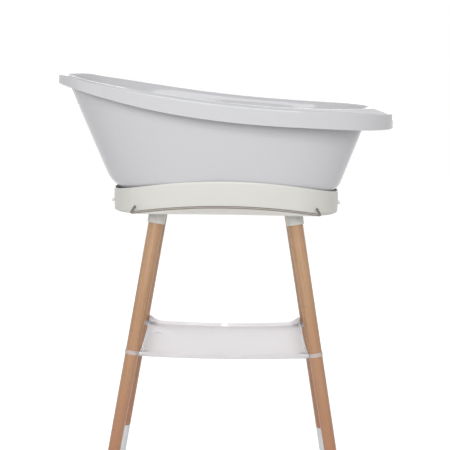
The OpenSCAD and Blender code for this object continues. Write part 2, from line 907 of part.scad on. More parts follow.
// One ring of the spring's tube: around its axis at angle a, moved along the wire by leg
function spring_ring(a, leg) =
    let (
        out = [cos(a), 0, sin(a)],
        rise = spring_pitch * spring_turns * (a / (360 * spring_turns) - 1 / 2),
        run = [-spring_r * sin(a), spring_pitch / (2 * PI), spring_r * cos(a)],
        ahead = run / norm(run),
        side = cross(ahead, out),
        middle = out * spring_r + [0, rise, 0] + ahead * leg
    )
    [
        for (k = [0 : spring_sides - 1])
        middle + (out * cos(360 * k / spring_sides) + side * sin(360 * k / spring_sides)) * spring_wire_d / 2
    ];

module latch_spring() {
    steps = spring_turns * spring_rings;
    last = 360 * spring_turns;
    rings = concat(
        [spring_ring(0, -spring_leg)],
        [for (i = [0 : steps]) spring_ring(last * i / steps, 0)],
        [spring_ring(last, spring_leg)]
    );
    color(STEEL) translate([pin_x, 0, pin_z]) tube(rings);
}

// Carries a piece of the front left corner to the corner with signs s
module to_corner(s) {
    mirror([s[0] > 0 ? 1 : 0, 0, 0])
    mirror([0, s[1] > 0 ? 1 : 0, 0])
    children();
}
module to_corners() {
    for (s = LEG_SIGNS) to_corner(s) children();
}

// Front left leg's frame: origin on the floor, z along the leg, x towards the middle of the stand
module on_leg() {
    translate([-foot_x, -foot_y, 0])
    rotate([0, lean, atan2(lean_y, lean_x)])
    children();
}
function along(z) = z / cos(lean);
function leg_radius(z) = lerp(leg_foot_d, leg_d, z / socket_z) / 2;
function leg_x(z) = foot_x - lean_x * z;
function leg_y(z) = foot_y - lean_y * z;

module bolt_hole() {
    on_leg()
    translate([socket_r + over, 0, along(bolt_z)])
    rotate([0, -90, 0])
    cylinder(d = bolt_d + 2 * screw_gap, h = bolt_reach + over + screw_gap, $fn = small);
}

// Screws that hold a socket's flange, pointing up from the flange's underside
module at_flange_screws() {
    for (a = SIDES) {
        translate([-leg_top_x, -leg_top_y, plate_z - flange_t])
        rotate([0, 0, atan2(lean_y, lean_x) + a * 90])
        translate([socket_screw_r, 0, 0])
        children();
    }
}

module socket() {
    color(APRON_WHITE)
    difference() {
        union() {
            on_leg()
            translate([0, 0, along(socket_z)])
            cylinder(r1 = socket_r, r2 = socket_r + socket_swell, h = along(socket_l) + leg_top_gap, $fn = fine);
            translate([-leg_top_x, -leg_top_y, plate_z - flange_t])
            cylinder(d = flange_d, h = flange_t, $fn = fine);
        }
        translate([-leg_top_x, -leg_top_y, plate_z])
        cylinder(d = 2 * flange_d, h = flange_d, $fn = fine);
        on_leg()
        translate([0, 0, along(socket_z) - over])
        cylinder(d = leg_d + 2 * fit_gap, h = along(leg_end_z - socket_z) + over + fit_gap, $fn = fine);
        bolt_hole();
        at_flange_screws()
        translate([0, 0, -over])
        cylinder(d = socket_screw_d + 2 * screw_gap, h = flange_t + 2 * over, $fn = small);
    }
}

module socket_screws() {
    color(ZINC)
    to_corners() at_flange_screws() {
        cylinder(d = socket_screw_d, h = flange_t + plate_t + socket_screw_d, $fn = small);
        translate([0, 0, -screw_head_h_share * socket_screw_d])
        cylinder(
            d = screw_head_share * socket_screw_d, h = screw_head_h_share * socket_screw_d, $fn = small
        );
        translate([0, 0, flange_t + plate_t])
        cylinder(d = nut_share * socket_screw_d, h = nut_h_share * socket_screw_d, $fn = 6);
    }
}

module leg_bolts() {
    color(ZINC)
    to_corners() on_leg() {
        translate([socket_r + socket_swell / 2, 0, along(bolt_z)])
        rotate([0, -90, 0]) {
            cylinder(d = bolt_d, h = bolt_reach, $fn = small);
            translate([0, 0, -bolt_head_h])
            cylinder(d = bolt_head_d, h = bolt_head_h, $fn = small);
        }
    }
}

module leg() {
    color(BEECH)
    difference() {
        on_leg()
        rotate_extrude($fn = fine)
        polygon([
            [0, along(cap_spigot_z)],
            [cap_spigot_d / 2, along(cap_spigot_z)],
            [cap_spigot_d / 2, along(cap_h)],
            [leg_radius(cap_h), along(cap_h)],
            [leg_d / 2, along(socket_z)],
            [leg_d / 2, along(leg_end_z)],
            [0, along(leg_end_z)]
        ]);
        bolt_hole();
    }
}

module foot_form(low, high) {
    intersection() {
        on_leg()
        translate([0, 0, -leg_foot_d])
        cylinder(
            r1 = leg_radius(-leg_foot_d * cos(lean)), r2 = leg_radius(cap_h),
            h = along(cap_h) + leg_foot_d, $fn = fine
        );
        translate([-foot_x, -foot_y, (low + high) / 2])
        cube([cap_h, cap_h, high - low], center = true);
    }
}

module foot_cap() {
    color(CAP_WHITE)
    difference() {
        foot_form(foot_pad_t, 2 * cap_h);
        on_leg()
        translate([0, 0, along(cap_spigot_z) - fit_gap])
        cylinder(d = cap_spigot_d + 2 * fit_gap, h = along(cap_h), $fn = fine);
    }
}

module foot_pads() {
    color(RUBBER) to_corners() foot_form(0, foot_pad_t);
}

// Outline of the shelf, set inwards: the front bows out and the back bows in
function shelf_side(y, inset) =
    shelf_half - inset + corner_flare * pow(clamp((abs(y) / shelf_front - flare_start_share) / (1 - flare_start_share)), 2);
function shelf_front_y(x, inset) = -shelf_front + inset + front_bow * pow(x / shelf_half, 2);
function shelf_back_y(x, inset) =
    shelf_back - inset + back_bow * pow(x / shelf_half, 2)
    + back_flare * pow(clamp((abs(x) / shelf_half - back_flare_share) / (1 - back_flare_share)), 2);

module shelf_outline(inset) {
    front = [
        for (i = [0 : tray_steps])
        let (x = shelf_side(shelf_front, inset) * (2 * i / tray_steps - 1))
        [x, shelf_front_y(x, inset)]
    ];
    reach = shelf_back_y(shelf_half, inset);
    side = [
        for (i = [1 : tray_steps / 2 - 1])
        let (y = lerp(shelf_front_y(shelf_half, inset), reach, 2 * i / tray_steps))
        [shelf_side(y, inset), y]
    ];
    back = [
        for (i = [0 : tray_steps])
        let (x = shelf_side(reach, inset) * (1 - 2 * i / tray_steps))
        [x, shelf_back_y(x, inset)]
    ];
    polygon(concat(
        front, side, back,
        [for (i = [len(side) - 1 : -1 : 0]) [-side[i][0], side[i][1]]]
    ));
}

// Tongue under a corner of the shelf, along its own x axis
module at_tongue() {
    translate([-leg_x(clip_z), -leg_y(clip_z), shelf_z - tongue_t])
    rotate([0, 0, tongue_angle])
    children();
}

module shelf_tray() {
    color(SHELF_WHITE)
    difference() {
        union() {
            translate([0, 0, shelf_z]) linear_extrude(shelf_t) shelf_outline(0);
            translate([0, 0, shelf_z])
            linear_extrude(shelf_lip_h)
            difference() {
                shelf_outline(0);
                shelf_outline(shelf_lip_t);
            }
            to_corners() at_tongue()
            translate([tongue_l - tongue_w / 2, 0, tongue_t])
            cylinder(d = shelf_boss_d, h = shelf_t + shelf_boss_h, $fn = small);
        }
        translate([-channel_w / 2, -shelf_front + 2 * shelf_lip_t, shelf_z + shelf_t - channel_depth])
        cube([channel_w, 2 * shelf_front, channel_depth + shelf_t]);
        translate([-notch_w / 2, shelf_back / 2, shelf_z + shelf_t])
        cube([notch_w, shelf_front, shelf_lip_h]);
        for (x = SIDES) {
            translate([x * recess_x, recess_y, shelf_z + shelf_t - channel_depth]) {
                translate([-recess_w / 2, -(recess_l - recess_w) / 2, 0])
                cube([recess_w, recess_l - recess_w, channel_depth + over]);
                for (y = SIDES) {
                    translate([0, y * (recess_l - recess_w) / 2, 0])
                    cylinder(d = recess_w, h = channel_depth + over, $fn = fine);
                }
            }
        }
        to_corners() {
            on_leg()
            translate([0, 0, along(clip_z) - 2 * clip_r])
            cylinder(r = clip_r + tray_gap, h = 4 * clip_r, $fn = fine);
            at_tongue()
            translate([tongue_l - tongue_w / 2, 0, 0])
            cylinder(d = shelf_screw_d + 2 * screw_gap, h = tongue_t + shelf_screw_h + screw_gap, $fn = small);
        }
    }
}

module shelf_clip() {
    color(SHELF_WHITE)
    difference() {
        union() {
            on_leg()
            translate([0, 0, along(clip_z) - clip_h / 2])
            cylinder(r = clip_r, h = clip_h, $fn = fine);
            at_tongue() {
                translate([0, -tongue_w / 2, 0]) cube([tongue_l - tongue_w / 2, tongue_w, tongue_t]);
                translate([tongue_l - tongue_w / 2, 0, 0]) cylinder(d = tongue_w, h = tongue_t, $fn = small);
            }
        }
        on_leg()
        translate([0, 0, along(clip_z) - 2 * clip_r])
        cylinder(
            r1 = leg_radius(clip_z - 2 * clip_r * cos(lean)) + fit_gap,
            r2 = leg_radius(clip_z + 2 * clip_r * cos(lean)) + fit_gap,
            h = 4 * clip_r, $fn = fine
        );
        at_tongue()
        translate([tongue_l - tongue_w / 2, 0, -over])
        cylinder(d = shelf_screw_d + 2 * screw_gap, h = tongue_t + 2 * over, $fn = small);
    }
}

module shelf_screws() {
    color(ZINC)
    to_corners() at_tongue()
    translate([tongue_l - tongue_w / 2, 0, 0]) {
        cylinder(d = shelf_screw_d, h = tongue_t + shelf_screw_h, $fn = small);
        translate([0, 0, -screw_head_h_share * shelf_screw_d])
        cylinder(
            d = screw_head_share * shelf_screw_d, h = screw_head_h_share * shelf_screw_d, $fn = small
        );
    }
}

tub_shell();
tub_catches();
drain_outlet();
drain_seal();
drain_nut();
drain_plug();
plug_seal();
apron();
base_frame();
support_pads();
apron_screws();
towel_rail();
rail_nuts();
mirror([1, 0, 0]) color(APRON_WHITE) latch_form();  // latch_left
color(APRON_WHITE) latch_form();  // latch_right
mirror([1, 0, 0]) latch_pin();  // latch_pin_left
latch_pin();  // latch_pin_right
mirror([1, 0, 0]) latch_spring();  // latch_spring_left
latch_spring();  // latch_spring_right
to_corner([-1, -1]) socket();  // socket_front_left
to_corner([1, -1]) socket();  // socket_front_right
to_corner([-1, 1]) socket();  // socket_back_left
to_corner([1, 1]) socket();  // socket_back_right
socket_screws();
leg_bolts();
to_corner([-1, -1]) leg();  // leg_front_left
to_corner([1, -1]) leg();  // leg_front_right
to_corner([-1, 1]) leg();  // leg_back_left
to_corner([1, 1]) leg();  // leg_back_right
to_corner([-1, -1]) foot_cap();  // foot_cap_front_left
to_corner([1, -1]) foot_cap();  // foot_cap_front_right
to_corner([-1, 1]) foot_cap();  // foot_cap_back_left
to_corner([1, 1]) foot_cap();  // foot_cap_back_right
foot_pads();
shelf_tray();
to_corner([-1, -1]) shelf_clip();  // shelf_clip_front_left
to_corner([1, -1]) shelf_clip();  // shelf_clip_front_right
to_corner([-1, 1]) shelf_clip();  // shelf_clip_back_left
to_corner([1, 1]) shelf_clip();  // shelf_clip_back_right
shelf_screws();
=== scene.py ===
import json
from math import asin, atan2, cos, hypot, pi, radians, sin, sqrt

import bmesh
import bpy
from bpy.props import FloatProperty, FloatVectorProperty, IntProperty, PointerProperty
from mathutils import Matrix, Vector


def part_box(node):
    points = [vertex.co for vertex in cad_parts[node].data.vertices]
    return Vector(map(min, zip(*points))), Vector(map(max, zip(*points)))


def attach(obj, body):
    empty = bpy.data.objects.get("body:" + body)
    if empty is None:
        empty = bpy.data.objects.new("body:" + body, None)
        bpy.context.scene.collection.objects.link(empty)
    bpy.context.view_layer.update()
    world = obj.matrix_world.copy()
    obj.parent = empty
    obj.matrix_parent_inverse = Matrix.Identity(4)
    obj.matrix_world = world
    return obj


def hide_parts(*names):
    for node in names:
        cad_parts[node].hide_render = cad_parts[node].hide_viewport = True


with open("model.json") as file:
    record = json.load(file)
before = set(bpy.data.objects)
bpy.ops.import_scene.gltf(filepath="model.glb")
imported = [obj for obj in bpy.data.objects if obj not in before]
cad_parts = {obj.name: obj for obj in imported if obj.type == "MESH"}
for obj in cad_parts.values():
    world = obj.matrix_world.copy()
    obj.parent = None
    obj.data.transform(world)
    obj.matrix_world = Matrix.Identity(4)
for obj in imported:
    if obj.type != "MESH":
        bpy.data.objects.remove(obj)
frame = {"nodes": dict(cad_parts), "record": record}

bl_info = {
    "name": "Baby bathtub with stand",
    "version": (1, 0, 0),
    "blender": (4, 5, 0),
    "location": "3D View > Sidebar > Baby bath",
    "description": "Builds the moulded tub, its wooden stand and the studio around them",
    "category": "Add Mesh",
}

MM = 0.001
# Signs along and across the tub
CORNERS = {"front_left": (-1, -1), "front_right": (1, -1), "back_left": (-1, 1), "back_right": (1, 1)}
SIDES = {"left": -1, "right": 1}
TUB_LOW, TUB_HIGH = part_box("tub_shell")
APRON_LOW, APRON_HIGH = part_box("apron")
RAIL_LOW, RAIL_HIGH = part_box("towel_rail")
TRAY_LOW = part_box("shelf_tray")[0]
OUTLET_LOW, OUTLET_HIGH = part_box("drain_outlet")
# Sockets of a Mix node that mixes two colours
SHARE, FIRST, SECOND, MIXED = 0, 6, 7, 2


def linear(hex_colour):
    """Turns an sRGB hex colour such as "#d1d1d3" into Blender's linear colour."""
    shares = [int(hex_colour[i:i + 2], 16) / 255 for i in (1, 3, 5)]
    return [s / 12.92 if s <= 0.04045 else ((s + 0.055) / 1.055) ** 2.4 for s in shares] + [1.0]


def size(name, description, millimetres):
    """A length property, written in millimetres and held in metres."""
    return FloatProperty(
        name=name, description=description, default=millimetres * MM, min=0.0,
        unit="LENGTH", precision=4,
    )


def share(name, description, value):
    """A share from 0 to 1."""
    return FloatProperty(name=name, description=description, default=value, subtype="FACTOR")


def number(name, description, value, unit="NONE"):
    """A plain number, or one in the unit named: watts, radians or a lens's millimetres."""
    return FloatProperty(name=name, description=description, default=value, unit=unit)


def colour(name, description, hex_colour):
    """A colour, written as an sRGB hex value and held as a linear one."""
    return FloatVectorProperty(
        name=name, description=description, default=linear(hex_colour), size=4,
        subtype="COLOR", min=0.0, max=1.0,
    )


class TubSettings(bpy.types.PropertyGroup):
    """Sizes of the moulded tub"""
    wall: size("Wall", "Thickness of the tub's wall", 3)
    rim_rise: size("Rim rise", "Height of the rim's crest over the underside at the foot end", 211)
    head_rise: size("Head rise", "How much higher the crest is at the head end", 70)
    head_ledge: size("Head ledge", "From the head end of the tub's box to the top of the wall", 19.5)
    head_fuller: size("Head fuller", "How much higher the crest is just inside the head's tip", 2.4)
    head_fuller_reach: size("Head fuller reach", "Length of that fuller part", 70)
    foot_ledge: size("Foot ledge", "From the foot end of the tub's box to the top of the wall", 61)
    side_ledge: size("Side ledge", "From the side of the tub's box to the top of the wall", 27)
    head_slope: size("Head slope", "From the head end of the tub's box to the foot of the wall", 133.5)
    foot_slope: size("Foot slope", "From the foot end of the tub's box to the foot of the wall", 136)
    side_slope: size("Side slope", "From the side of the tub's box to the foot of the wall", 77)
    head_short: size("Head short", "How far the rim ends before the tub's box at the head", 0.5)
    foot_short: size("Foot short", "How far the rim ends before the tub's box at the foot", 7)
    rim_drop: size("Rim drop", "How far the rim falls from its crest to its edge", 4)
    head_drop: size("Head drop", "How far the rim falls to its edge at the head end", 1.2)
    foot_drop: size("Foot drop", "How far the rim falls to its edge at the foot end", 14)
    skirt_head: size("Skirt at the head", "Depth of the skirt below the crest at the head", 20.5)
    skirt_middle: size("Skirt at mid length", "Depth of the skirt at mid length", 42)
    skirt_foot: size("Skirt at the foot", "Depth of the skirt below the crest at the foot", 49)
    rim_edge: size("Rim edge", "Radius of the rim's outer edge", 4)
    crest_roll: size("Crest roll", "Radius of the roll from the rim into the tub", 9)
    skirt_edge: size("Skirt edge", "Radius of the skirt's lower edge", 1)
    rim_round: number("Rim roundness", "Power of the rim's outline", 2.35)
    top_round: number("Wall roundness", "Power of the wall's outline", 2.45)
    base_round: number("Foot roundness", "Power of the foot's outline", 2.4)
    taper: share("Taper", "How much narrower the wall is at the foot end", 0.07)
    drain_hole: size("Drain hole", "Diameter of the hole for the drain", 33.8)
    segments: IntProperty(name="Segments", description="Points around the tub", default=264, min=48)


class StandSettings(bpy.types.PropertyGroup):
    """Sizes of the stand's moulded and turned pieces"""
    end_radius: size("End radius", "Radius of the apron's ends, seen from above", 153.38)
    apron_wall: size("Apron wall", "Thickness of the apron", 3)
    apron_top_fall: size("Top arch", "How much lower the apron's top edge is at the ends", 38)
    apron_bottom_fall: size("Lower arch", "How much lower its lower edge is at the ends", 33)
    end_draw: size("End draw", "Draw-in of the ends at the height of the apron's highest point", 1.8)
    widest_z: size("Widest height", "Height at which the apron's ends are widest", 762)
    latch_gap: size("Latch gap", "Gap around a latch", 1)
    latch_width: size("Latch width", "Width of a latch", 52)
    latch_height: size("Latch height", "Height of a latch", 21)
    latch_drop: size("Latch drop", "From the tub's underside to the top of a latch", 6)
    leg_width: size("Leg width", "Diameter of a leg at its socket", 36)
    foot_width: size("Foot width", "Diameter of a leg at the floor", 27)
    plate_z: size("Plate height", "Height of the frame's plate over the floor", 749)
    splay_x: size("Splay along the tub", "From a leg's top to its foot, along the tub", 129)
    splay_y: size("Splay across the tub", "From a leg's top to its foot, across the tub", 141.3)
    foot_x: size("Foot place along the tub", "From the middle to a foot, along the tub", 288.7)
    foot_y: size("Foot place across the tub", "From the middle to a foot, across the tub", 214.2)
    socket_length: size("Socket length", "Length of a socket below the plate", 41)
    cap_height: size("Cap height", "Height of a foot cap's upper edge", 87)
    rail_width: size("Rail width", "Diameter of the towel rail's wire", 6)
    rail_bend: size("Rail bend", "Radius of the wire's bends", 9)
    rail_drop: size("Rail drop", "From the top of the rail's box to the middle of the wire", 4.9)
    rail_fall: size("Rail fall", "How much lower the wire is at its bends", 15.6)
    leg_gap: size("Leg gap", "From a leg's upper end to the plate", 9)
    spigot_width: size("Spigot width", "Diameter of a leg's spigot in its foot cap", 20)
    spigot_z: size("Spigot height", "Height of a spigot's lower end over the floor", 30)
    socket_gap: size("Socket gap", "Gap between a leg and its socket", 0.15)
    socket_wall: size("Socket wall", "Thickness of a socket's sleeve at its lower edge", 2.5)
    socket_swell: size("Socket swell", "How much wider a sleeve gets up to its flare", 0.8)
    socket_flare: size("Socket flare", "How far a socket flares out under the plate", 6)
    flange_width: size("Flange width", "Diameter of a socket's flange under the plate", 64)
    flange_thickness: size("Flange thickness", "Thickness of a socket's flange", 3.5)


class ShelfSettings(bpy.types.PropertyGroup):
    """Sizes of the shelf"""
    half_length: size("Half length", "From the middle of the shelf to its side edge", 198.95)
    front: size("Front", "From the stand's middle to the shelf's front edge", 160)
    back: size("Back", "From the stand's middle to the shelf's back edge", 104)
    front_bow: size("Front bow", "How far the front edge bows out", 13)
    back_bow: size("Back bow", "How far the back edge bows in", 22)
    back_flare: size("Back flare", "How far the back edge runs out to the legs", 22)
    horn_rise: size("Horn rise", "Rise, at the back legs, of a point one lip height over the floor", 9)
    corner_flare: size("Corner flare", "How far the sides run out to the legs", 10)
    thickness: size("Thickness", "Thickness of the shelf's floor", 2.5)
    lip_height: size("Lip height", "Height of the lip over the shelf's underside", 11)
    lip_thickness: size("Lip thickness", "Thickness of the lip", 2.2)
    channel_width: size("Channel width", "Width of the channel across the shelf", 22)
    channel_depth: size("Channel depth", "Depth of the channel", 1)
    notch_width: size("Notch width", "Width of the notch in the back lip", 15)
    recess_width: size("Recess width", "Width of the two recesses in the shelf's floor", 26)
    recess_length: size("Recess length", "Length of the recesses", 50)
    recess_x: size("Recess place along the tub", "From the middle of the stand to a recess", 172)
    recess_y: size("Recess place across the tub", "From the middle of the stand to a recess", 12)
    boss_width: size("Boss width", "Diameter of the bosses over the screws", 9)
    boss_height: size("Boss height", "Height of the bosses over the floor", 3.2)
    boss_x: size("Boss place along the tub", "From the middle of the stand to a boss", 187.9)
    boss_y: size("Boss place across the tub", "From the middle of the stand to a boss", 117.6)
    clip_z: size("Clip height", "Height of the clips on the legs", 405)
    clip_reach: size("Clip reach", "From a leg's surface to the tray's cut corner", 2.35)


class FinishSettings(bpy.types.PropertyGroup):
    """Colours of the finishes"""
    tub_grey: colour("Tub grey", "Light grey polypropylene of the tub", "#d6d6d9")
    apron_white: colour("Apron white", "Warm white of the apron, the sockets and the latches", "#e4e3dd")
    frame_white: colour("Frame white", "White of the frame inside the apron", "#e8e5df")
    shelf_white: colour("Shelf white", "Milky white of the shelf and its clips", "#fcfafc")
    cap_white: colour("Cap white", "Cool white of the foot caps", "#f0f3f5")
    beech_light: colour("Light beech", "Pale wood between the growth lines", "#c39f7b")
    beech_dark: colour("Dark beech", "Wood of the growth lines and rays", "#aa8159")
    # Painted shade: the legs' lower ends are blended towards this darker, redder wood, standing in for the
    # weaker light near the floor
    beech_low_shade: colour("Low beech", "Redder wood of the legs' lower ends", "#b47759")
    steel: colour("Steel", "Brushed steel wire", "#8a857f")
    zinc: colour("Zinc", "Zinc plate on the screws", "#b9bcc0")
    rubber: colour("Rubber", "Grey rubber of seals and pads", "#55575a")


class StudioSettings(bpy.types.PropertyGroup):
    """Camera, lamps and floor"""
    camera_distance: size("Camera distance", "How far the camera stands in front of the tub's middle", 2303)
    camera_height: size("Camera height", "Height of the camera over the floor", 1120.8)
    camera_side: size("Camera side", "How far the camera stands to the right", 6.4)
    camera_turn: number("Turn", "Turn of the camera to the right", -0.0036, "ROTATION")
    camera_tilt: number("Tilt", "Downward tilt of the camera", 0.1845, "ROTATION")
    camera_roll: number("Roll", "Roll of the camera", 0.0137, "ROTATION")
    focal_length: number("Focal length", "Focal length of the lens", 75.68, "CAMERA")
    world_light: number("World light", "Strength of the soft room light", 0.4)
    front_light: number("Front light", "Power of the soft box in front", 25.5, "POWER")
    high_light: number("High light", "Power of the soft box above the camera", 19.5, "POWER")
    back_light: number("Back light", "Power of the wide box behind the bath", 15, "POWER")
    side_light: number("Side light", "Power of the low box on the left", 2, "POWER")
    paper_white: share("Paper white", "Share of light that the floor throws back", 0.7)
    paper_shade: share("Paper shade", "Floor's white that a shadow darkens", 0.45)
    floor_glow: share("Floor glow", "Share of the floor's white that no shadow takes", 0.86)
    floor_size: size("Floor size", "Length of the floor", 12000)


def settings():
    """The add-on's settings in this scene."""
    return bpy.context.scene.baby_bath


# Materials

def add_node(tree, kind, inputs=None, **values):
    """Adds a shader node with its settings, and sets or links its inputs."""
    made = tree.nodes.new(kind)
    for name, value in values.items():
        setattr(made, name, value)
    for socket, value in (inputs or {}).items():
        if isinstance(value, bpy.types.NodeSocket):
            tree.links.new(value, made.inputs[socket])
        else:
            made.inputs[socket].default_value = value
    return made


def new_material(name, base, roughness, ior=1.49, metallic=0.0, coat=0.0):
    """A Principled material with its constants on the shader's own sockets."""
    material = bpy.data.materials.new(name)
    material.use_nodes = True
    tree = material.node_tree
    shader = tree.nodes["Principled BSDF"]
    shader.inputs["Base Color"].default_value = base
    shader.inputs["Roughness"].default_value = roughness
    shader.inputs["IOR"].default_value = ior
    shader.inputs["Metallic"].default_value = metallic
    shader.inputs["Coat Weight"].default_value = coat
    material.diffuse_color = base
    return material, tree, shader


def moulded_plastic(name, base, roughness, grain_mm, depth_mm, flow=0.03, ior=1.49):
    """Injection-moulded plastic: a fine surface grain, and a slow change of tone where it flowed.

    The grain is drawn coarser than the mould's real grain, so that it shows."""
    material, tree, shader = new_material(name, base, roughness, ior)
    flow_mm = 160
    place = add_node(tree, "ShaderNodeTexCoord").outputs["Object"]
    grain = add_node(
        tree, "ShaderNodeTexNoise",
        {"Vector": place, "Scale": 1 / (grain_mm * MM), "Detail": 3.0, "Roughness": 0.55},
    )
    slow = add_node(
        tree, "ShaderNodeTexNoise", {"Vector": place, "Scale": 1 / (flow_mm * MM), "Detail": 2.0},
    )
    darker = [c * (1 - flow) for c in base[:3]] + [1.0]
    lighter = [min(1.0, c * (1 + flow / 2)) for c in base[:3]] + [1.0]
    tone = add_node(
        tree, "ShaderNodeMix", {SHARE: slow.outputs["Fac"], FIRST: darker, SECOND: lighter},
        data_type="RGBA",
    )
    rough = add_node(
        tree, "ShaderNodeMapRange",
        {"Value": grain.outputs["Fac"], "To Min": roughness * 0.85, "To Max": roughness * 1.15},
    )
    bump = add_node(
        tree, "ShaderNodeBump",
        {"Height": grain.outputs["Fac"], "Distance": depth_mm * MM, "Strength": 0.5},
    )
    tree.links.new(tone.outputs[MIXED], shader.inputs["Base Color"])
    tree.links.new(rough.outputs["Result"], shader.inputs["Roughness"])
    tree.links.new(bump.outputs["Normal"], shader.inputs["Normal"])
    return material


def tub_polypropylene():
    """Polypropylene from a polished mould: light grey, even and glossy, so lamps show sharply in it."""
    return moulded_plastic(
        "glossy_polypropylene", settings().finish.tub_grey,
        roughness=0.05, grain_mm=9.0, depth_mm=0.004, flow=0.01,
    )


def satin_abs():
    """ABS from a lightly etched mould: warm white with a satin sheen."""
    return moulded_plastic(
        "satin_abs", settings().finish.apron_white, roughness=0.38, grain_mm=1.4, depth_mm=0.03,
    )


def etched_abs():
    """The frame's ABS from a more coarsely etched mould, which is duller."""
    return moulded_plastic(
        "etched_abs", settings().finish.frame_white, roughness=0.5, grain_mm=1.2, depth_mm=0.04,
    )


def milky_polypropylene():
    """Natural polypropylene: milky, so a little light passes through it."""
    material = moulded_plastic(
        "milky_polypropylene", settings().finish.shelf_white,
        roughness=0.45, grain_mm=1.6, depth_mm=0.02,
    )
    shader = material.node_tree.nodes["Principled BSDF"]
    shader.inputs["Transmission Weight"].default_value = 0.55
    return material


def cap_polyamide():
    """Polyamide of the foot caps: cool white, matt and tough."""
    return moulded_plastic(
        "matt_polyamide", settings().finish.cap_white,
        roughness=0.45, grain_mm=1.0, depth_mm=0.03, ior=1.53,
    )


def lacquered_beech():
    """Turned beech under clear lacquer: pale, with faint growth lines along the leg and short dark rays,
    and painted shade that makes the legs darker and redder towards the floor.

    The pattern follows each leg through its own grain attribute, with the leg's axis as z."""
    finish = settings().finish
    material, tree, shader = new_material("lacquered_beech", finish.beech_light, 0.42, 1.5, coat=0.25)
    shader.inputs["Coat Roughness"].default_value = 0.3
    grain = add_node(tree, "ShaderNodeAttribute", attribute_name="grain").outputs["Vector"]

    def pattern(grain_mm, along_share, **more):
        """Noise of a grain width across the leg, drawn out along it."""
        place = add_node(tree, "ShaderNodeMapping", {"Vector": grain, "Scale": (1, 1, along_share)})
        inputs = {"Vector": place.outputs[0], "Scale": 1 / (grain_mm * MM), **more}
        return add_node(tree, "ShaderNodeTexNoise", inputs).outputs["Fac"]

    # Growth lines about 5 mm apart, rays 1 mm wide and 8 mm long, and a slow change of tone
    lines = pattern(5, 0.03, Detail=4.0, Distortion=0.6)
    rays = pattern(1, 0.12, Detail=2.0)
    slow = pattern(40, 0.2, Detail=2.0)
    line_share = add_node(
        tree, "ShaderNodeMapRange", {"Value": lines, "From Min": 0.35, "From Max": 0.7, "To Max": 1.0},
    )
    ray_share = add_node(
        tree, "ShaderNodeMapRange", {"Value": rays, "From Min": 0.56, "From Max": 0.72, "To Max": 0.55},
    )
    # Below 600 mm the wood is painted darker and redder towards the floor: painted shade where less light
    # reaches the legs' lower ends
    height = add_node(tree, "ShaderNodeTexCoord").outputs["Object"]
    low_shade_share = add_node(
        tree, "ShaderNodeMapRange",
        {
            "Value": add_node(tree, "ShaderNodeSeparateXYZ", {"Vector": height}).outputs["Z"],
            "From Min": 600 * MM, "From Max": 100 * MM, "To Max": 0.75,
        },
    )
    rosy = [finish.beech_light[0], finish.beech_light[1] * 0.9, finish.beech_light[2] * 0.86, 1.0]
    dark = [c * 0.72 for c in finish.beech_dark[:3]] + [1.0]
    wood = finish.beech_light
    for part, tint in (
        (line_share.outputs["Result"], finish.beech_dark), (slow, rosy),
        (low_shade_share.outputs["Result"], finish.beech_low_shade), (ray_share.outputs["Result"], dark),
    ):
        wood = add_node(
            tree, "ShaderNodeMix", {SHARE: part, FIRST: wood, SECOND: tint}, data_type="RGBA",
        ).outputs[MIXED]
    bump = add_node(
        tree, "ShaderNodeBump", {"Height": lines, "Distance": 0.06 * MM, "Strength": 0.4},
    )
    tree.links.new(wood, shader.inputs["Base Color"])
    tree.links.new(bump.outputs["Normal"], shader.inputs["Normal"])
    return material


def metal(name, base, roughness, mottle_mm):
    """Drawn or plated metal: a fine mottle changes how widely it shines."""
    material, tree, shader = new_material(name, base, roughness, ior=1.5, metallic=1.0)
    place = add_node(tree, "ShaderNodeTexCoord").outputs["Object"]
    mottle = add_node(
        tree, "ShaderNodeTexNoise", {"Vector": place, "Scale": 1 / (mottle_mm * MM), "Detail": 2.0},
    )
    rough = add_node(
        tree, "ShaderNodeMapRange",
        {"Value": mottle.outputs["Fac"], "To Min": roughness * 0.7, "To Max": roughness * 1.3},
    )
    tree.links.new(rough.outputs["Result"], shader.inputs["Roughness"])
    return material


def brushed_steel():
    """Steel wire, drawn and brushed: an even grey, a little brighter along its middle."""
    return metal("brushed_steel", settings().finish.steel, roughness=0.5, mottle_mm=2.0)


def zinc_plate():
    """Bright zinc plate on steel fasteners, slightly mottled."""
    return metal("zinc_plate", settings().finish.zinc, roughness=0.35, mottle_mm=3.0)


def soft_rubber():
    """Moulded rubber: dull grey with a fine grain."""
    return moulded_plastic(
        "soft_rubber", settings().finish.rubber,
        roughness=0.75, grain_mm=0.8, depth_mm=0.05, ior=1.52,
    )


FINISHES = {
    "tub_plastic": tub_polypropylene,
    "white_plastic": satin_abs,
    "frame_plastic": etched_abs,
    "shelf_plastic": milky_polypropylene,
    "cap_plastic": cap_polyamide,
    "beech": lacquered_beech,
    "steel_wire": brushed_steel,
    "zinc_plate": zinc_plate,
    "rubber": soft_rubber,
}
made_finishes = {}


def finish_of(slot):
    """The material of one of the record's slots, made once."""
    if slot not in made_finishes:
        made_finishes[slot] = FINISHES[slot]()
    return made_finishes[slot]


def slot_of(node):
    """The record's material slot of a node."""
    return next(s["material_slot"] for s in frame["record"]["subparts"] if s["node"] == node)


def body_of(node):
    """The body that a node moves with."""
    return next(b for b, members in frame["record"]["behaviour"]["bodies"].items() if node in members)


# Modelling

def mix(a, b, s):
    """The number or point a share of the way from a to b."""
    return a + (b - a) * s


def clamp(s):
    """Keeps a share from 0 to 1."""
    return min(1.0, max(0.0, s))


def share_past(start, s):
    """0 up to a start, then evenly up to 1."""
    return clamp((s - start) / (1 - start))


def eased(s):
    """A share that sets off and arrives slowly."""
    return s * s * (3 - 2 * s)


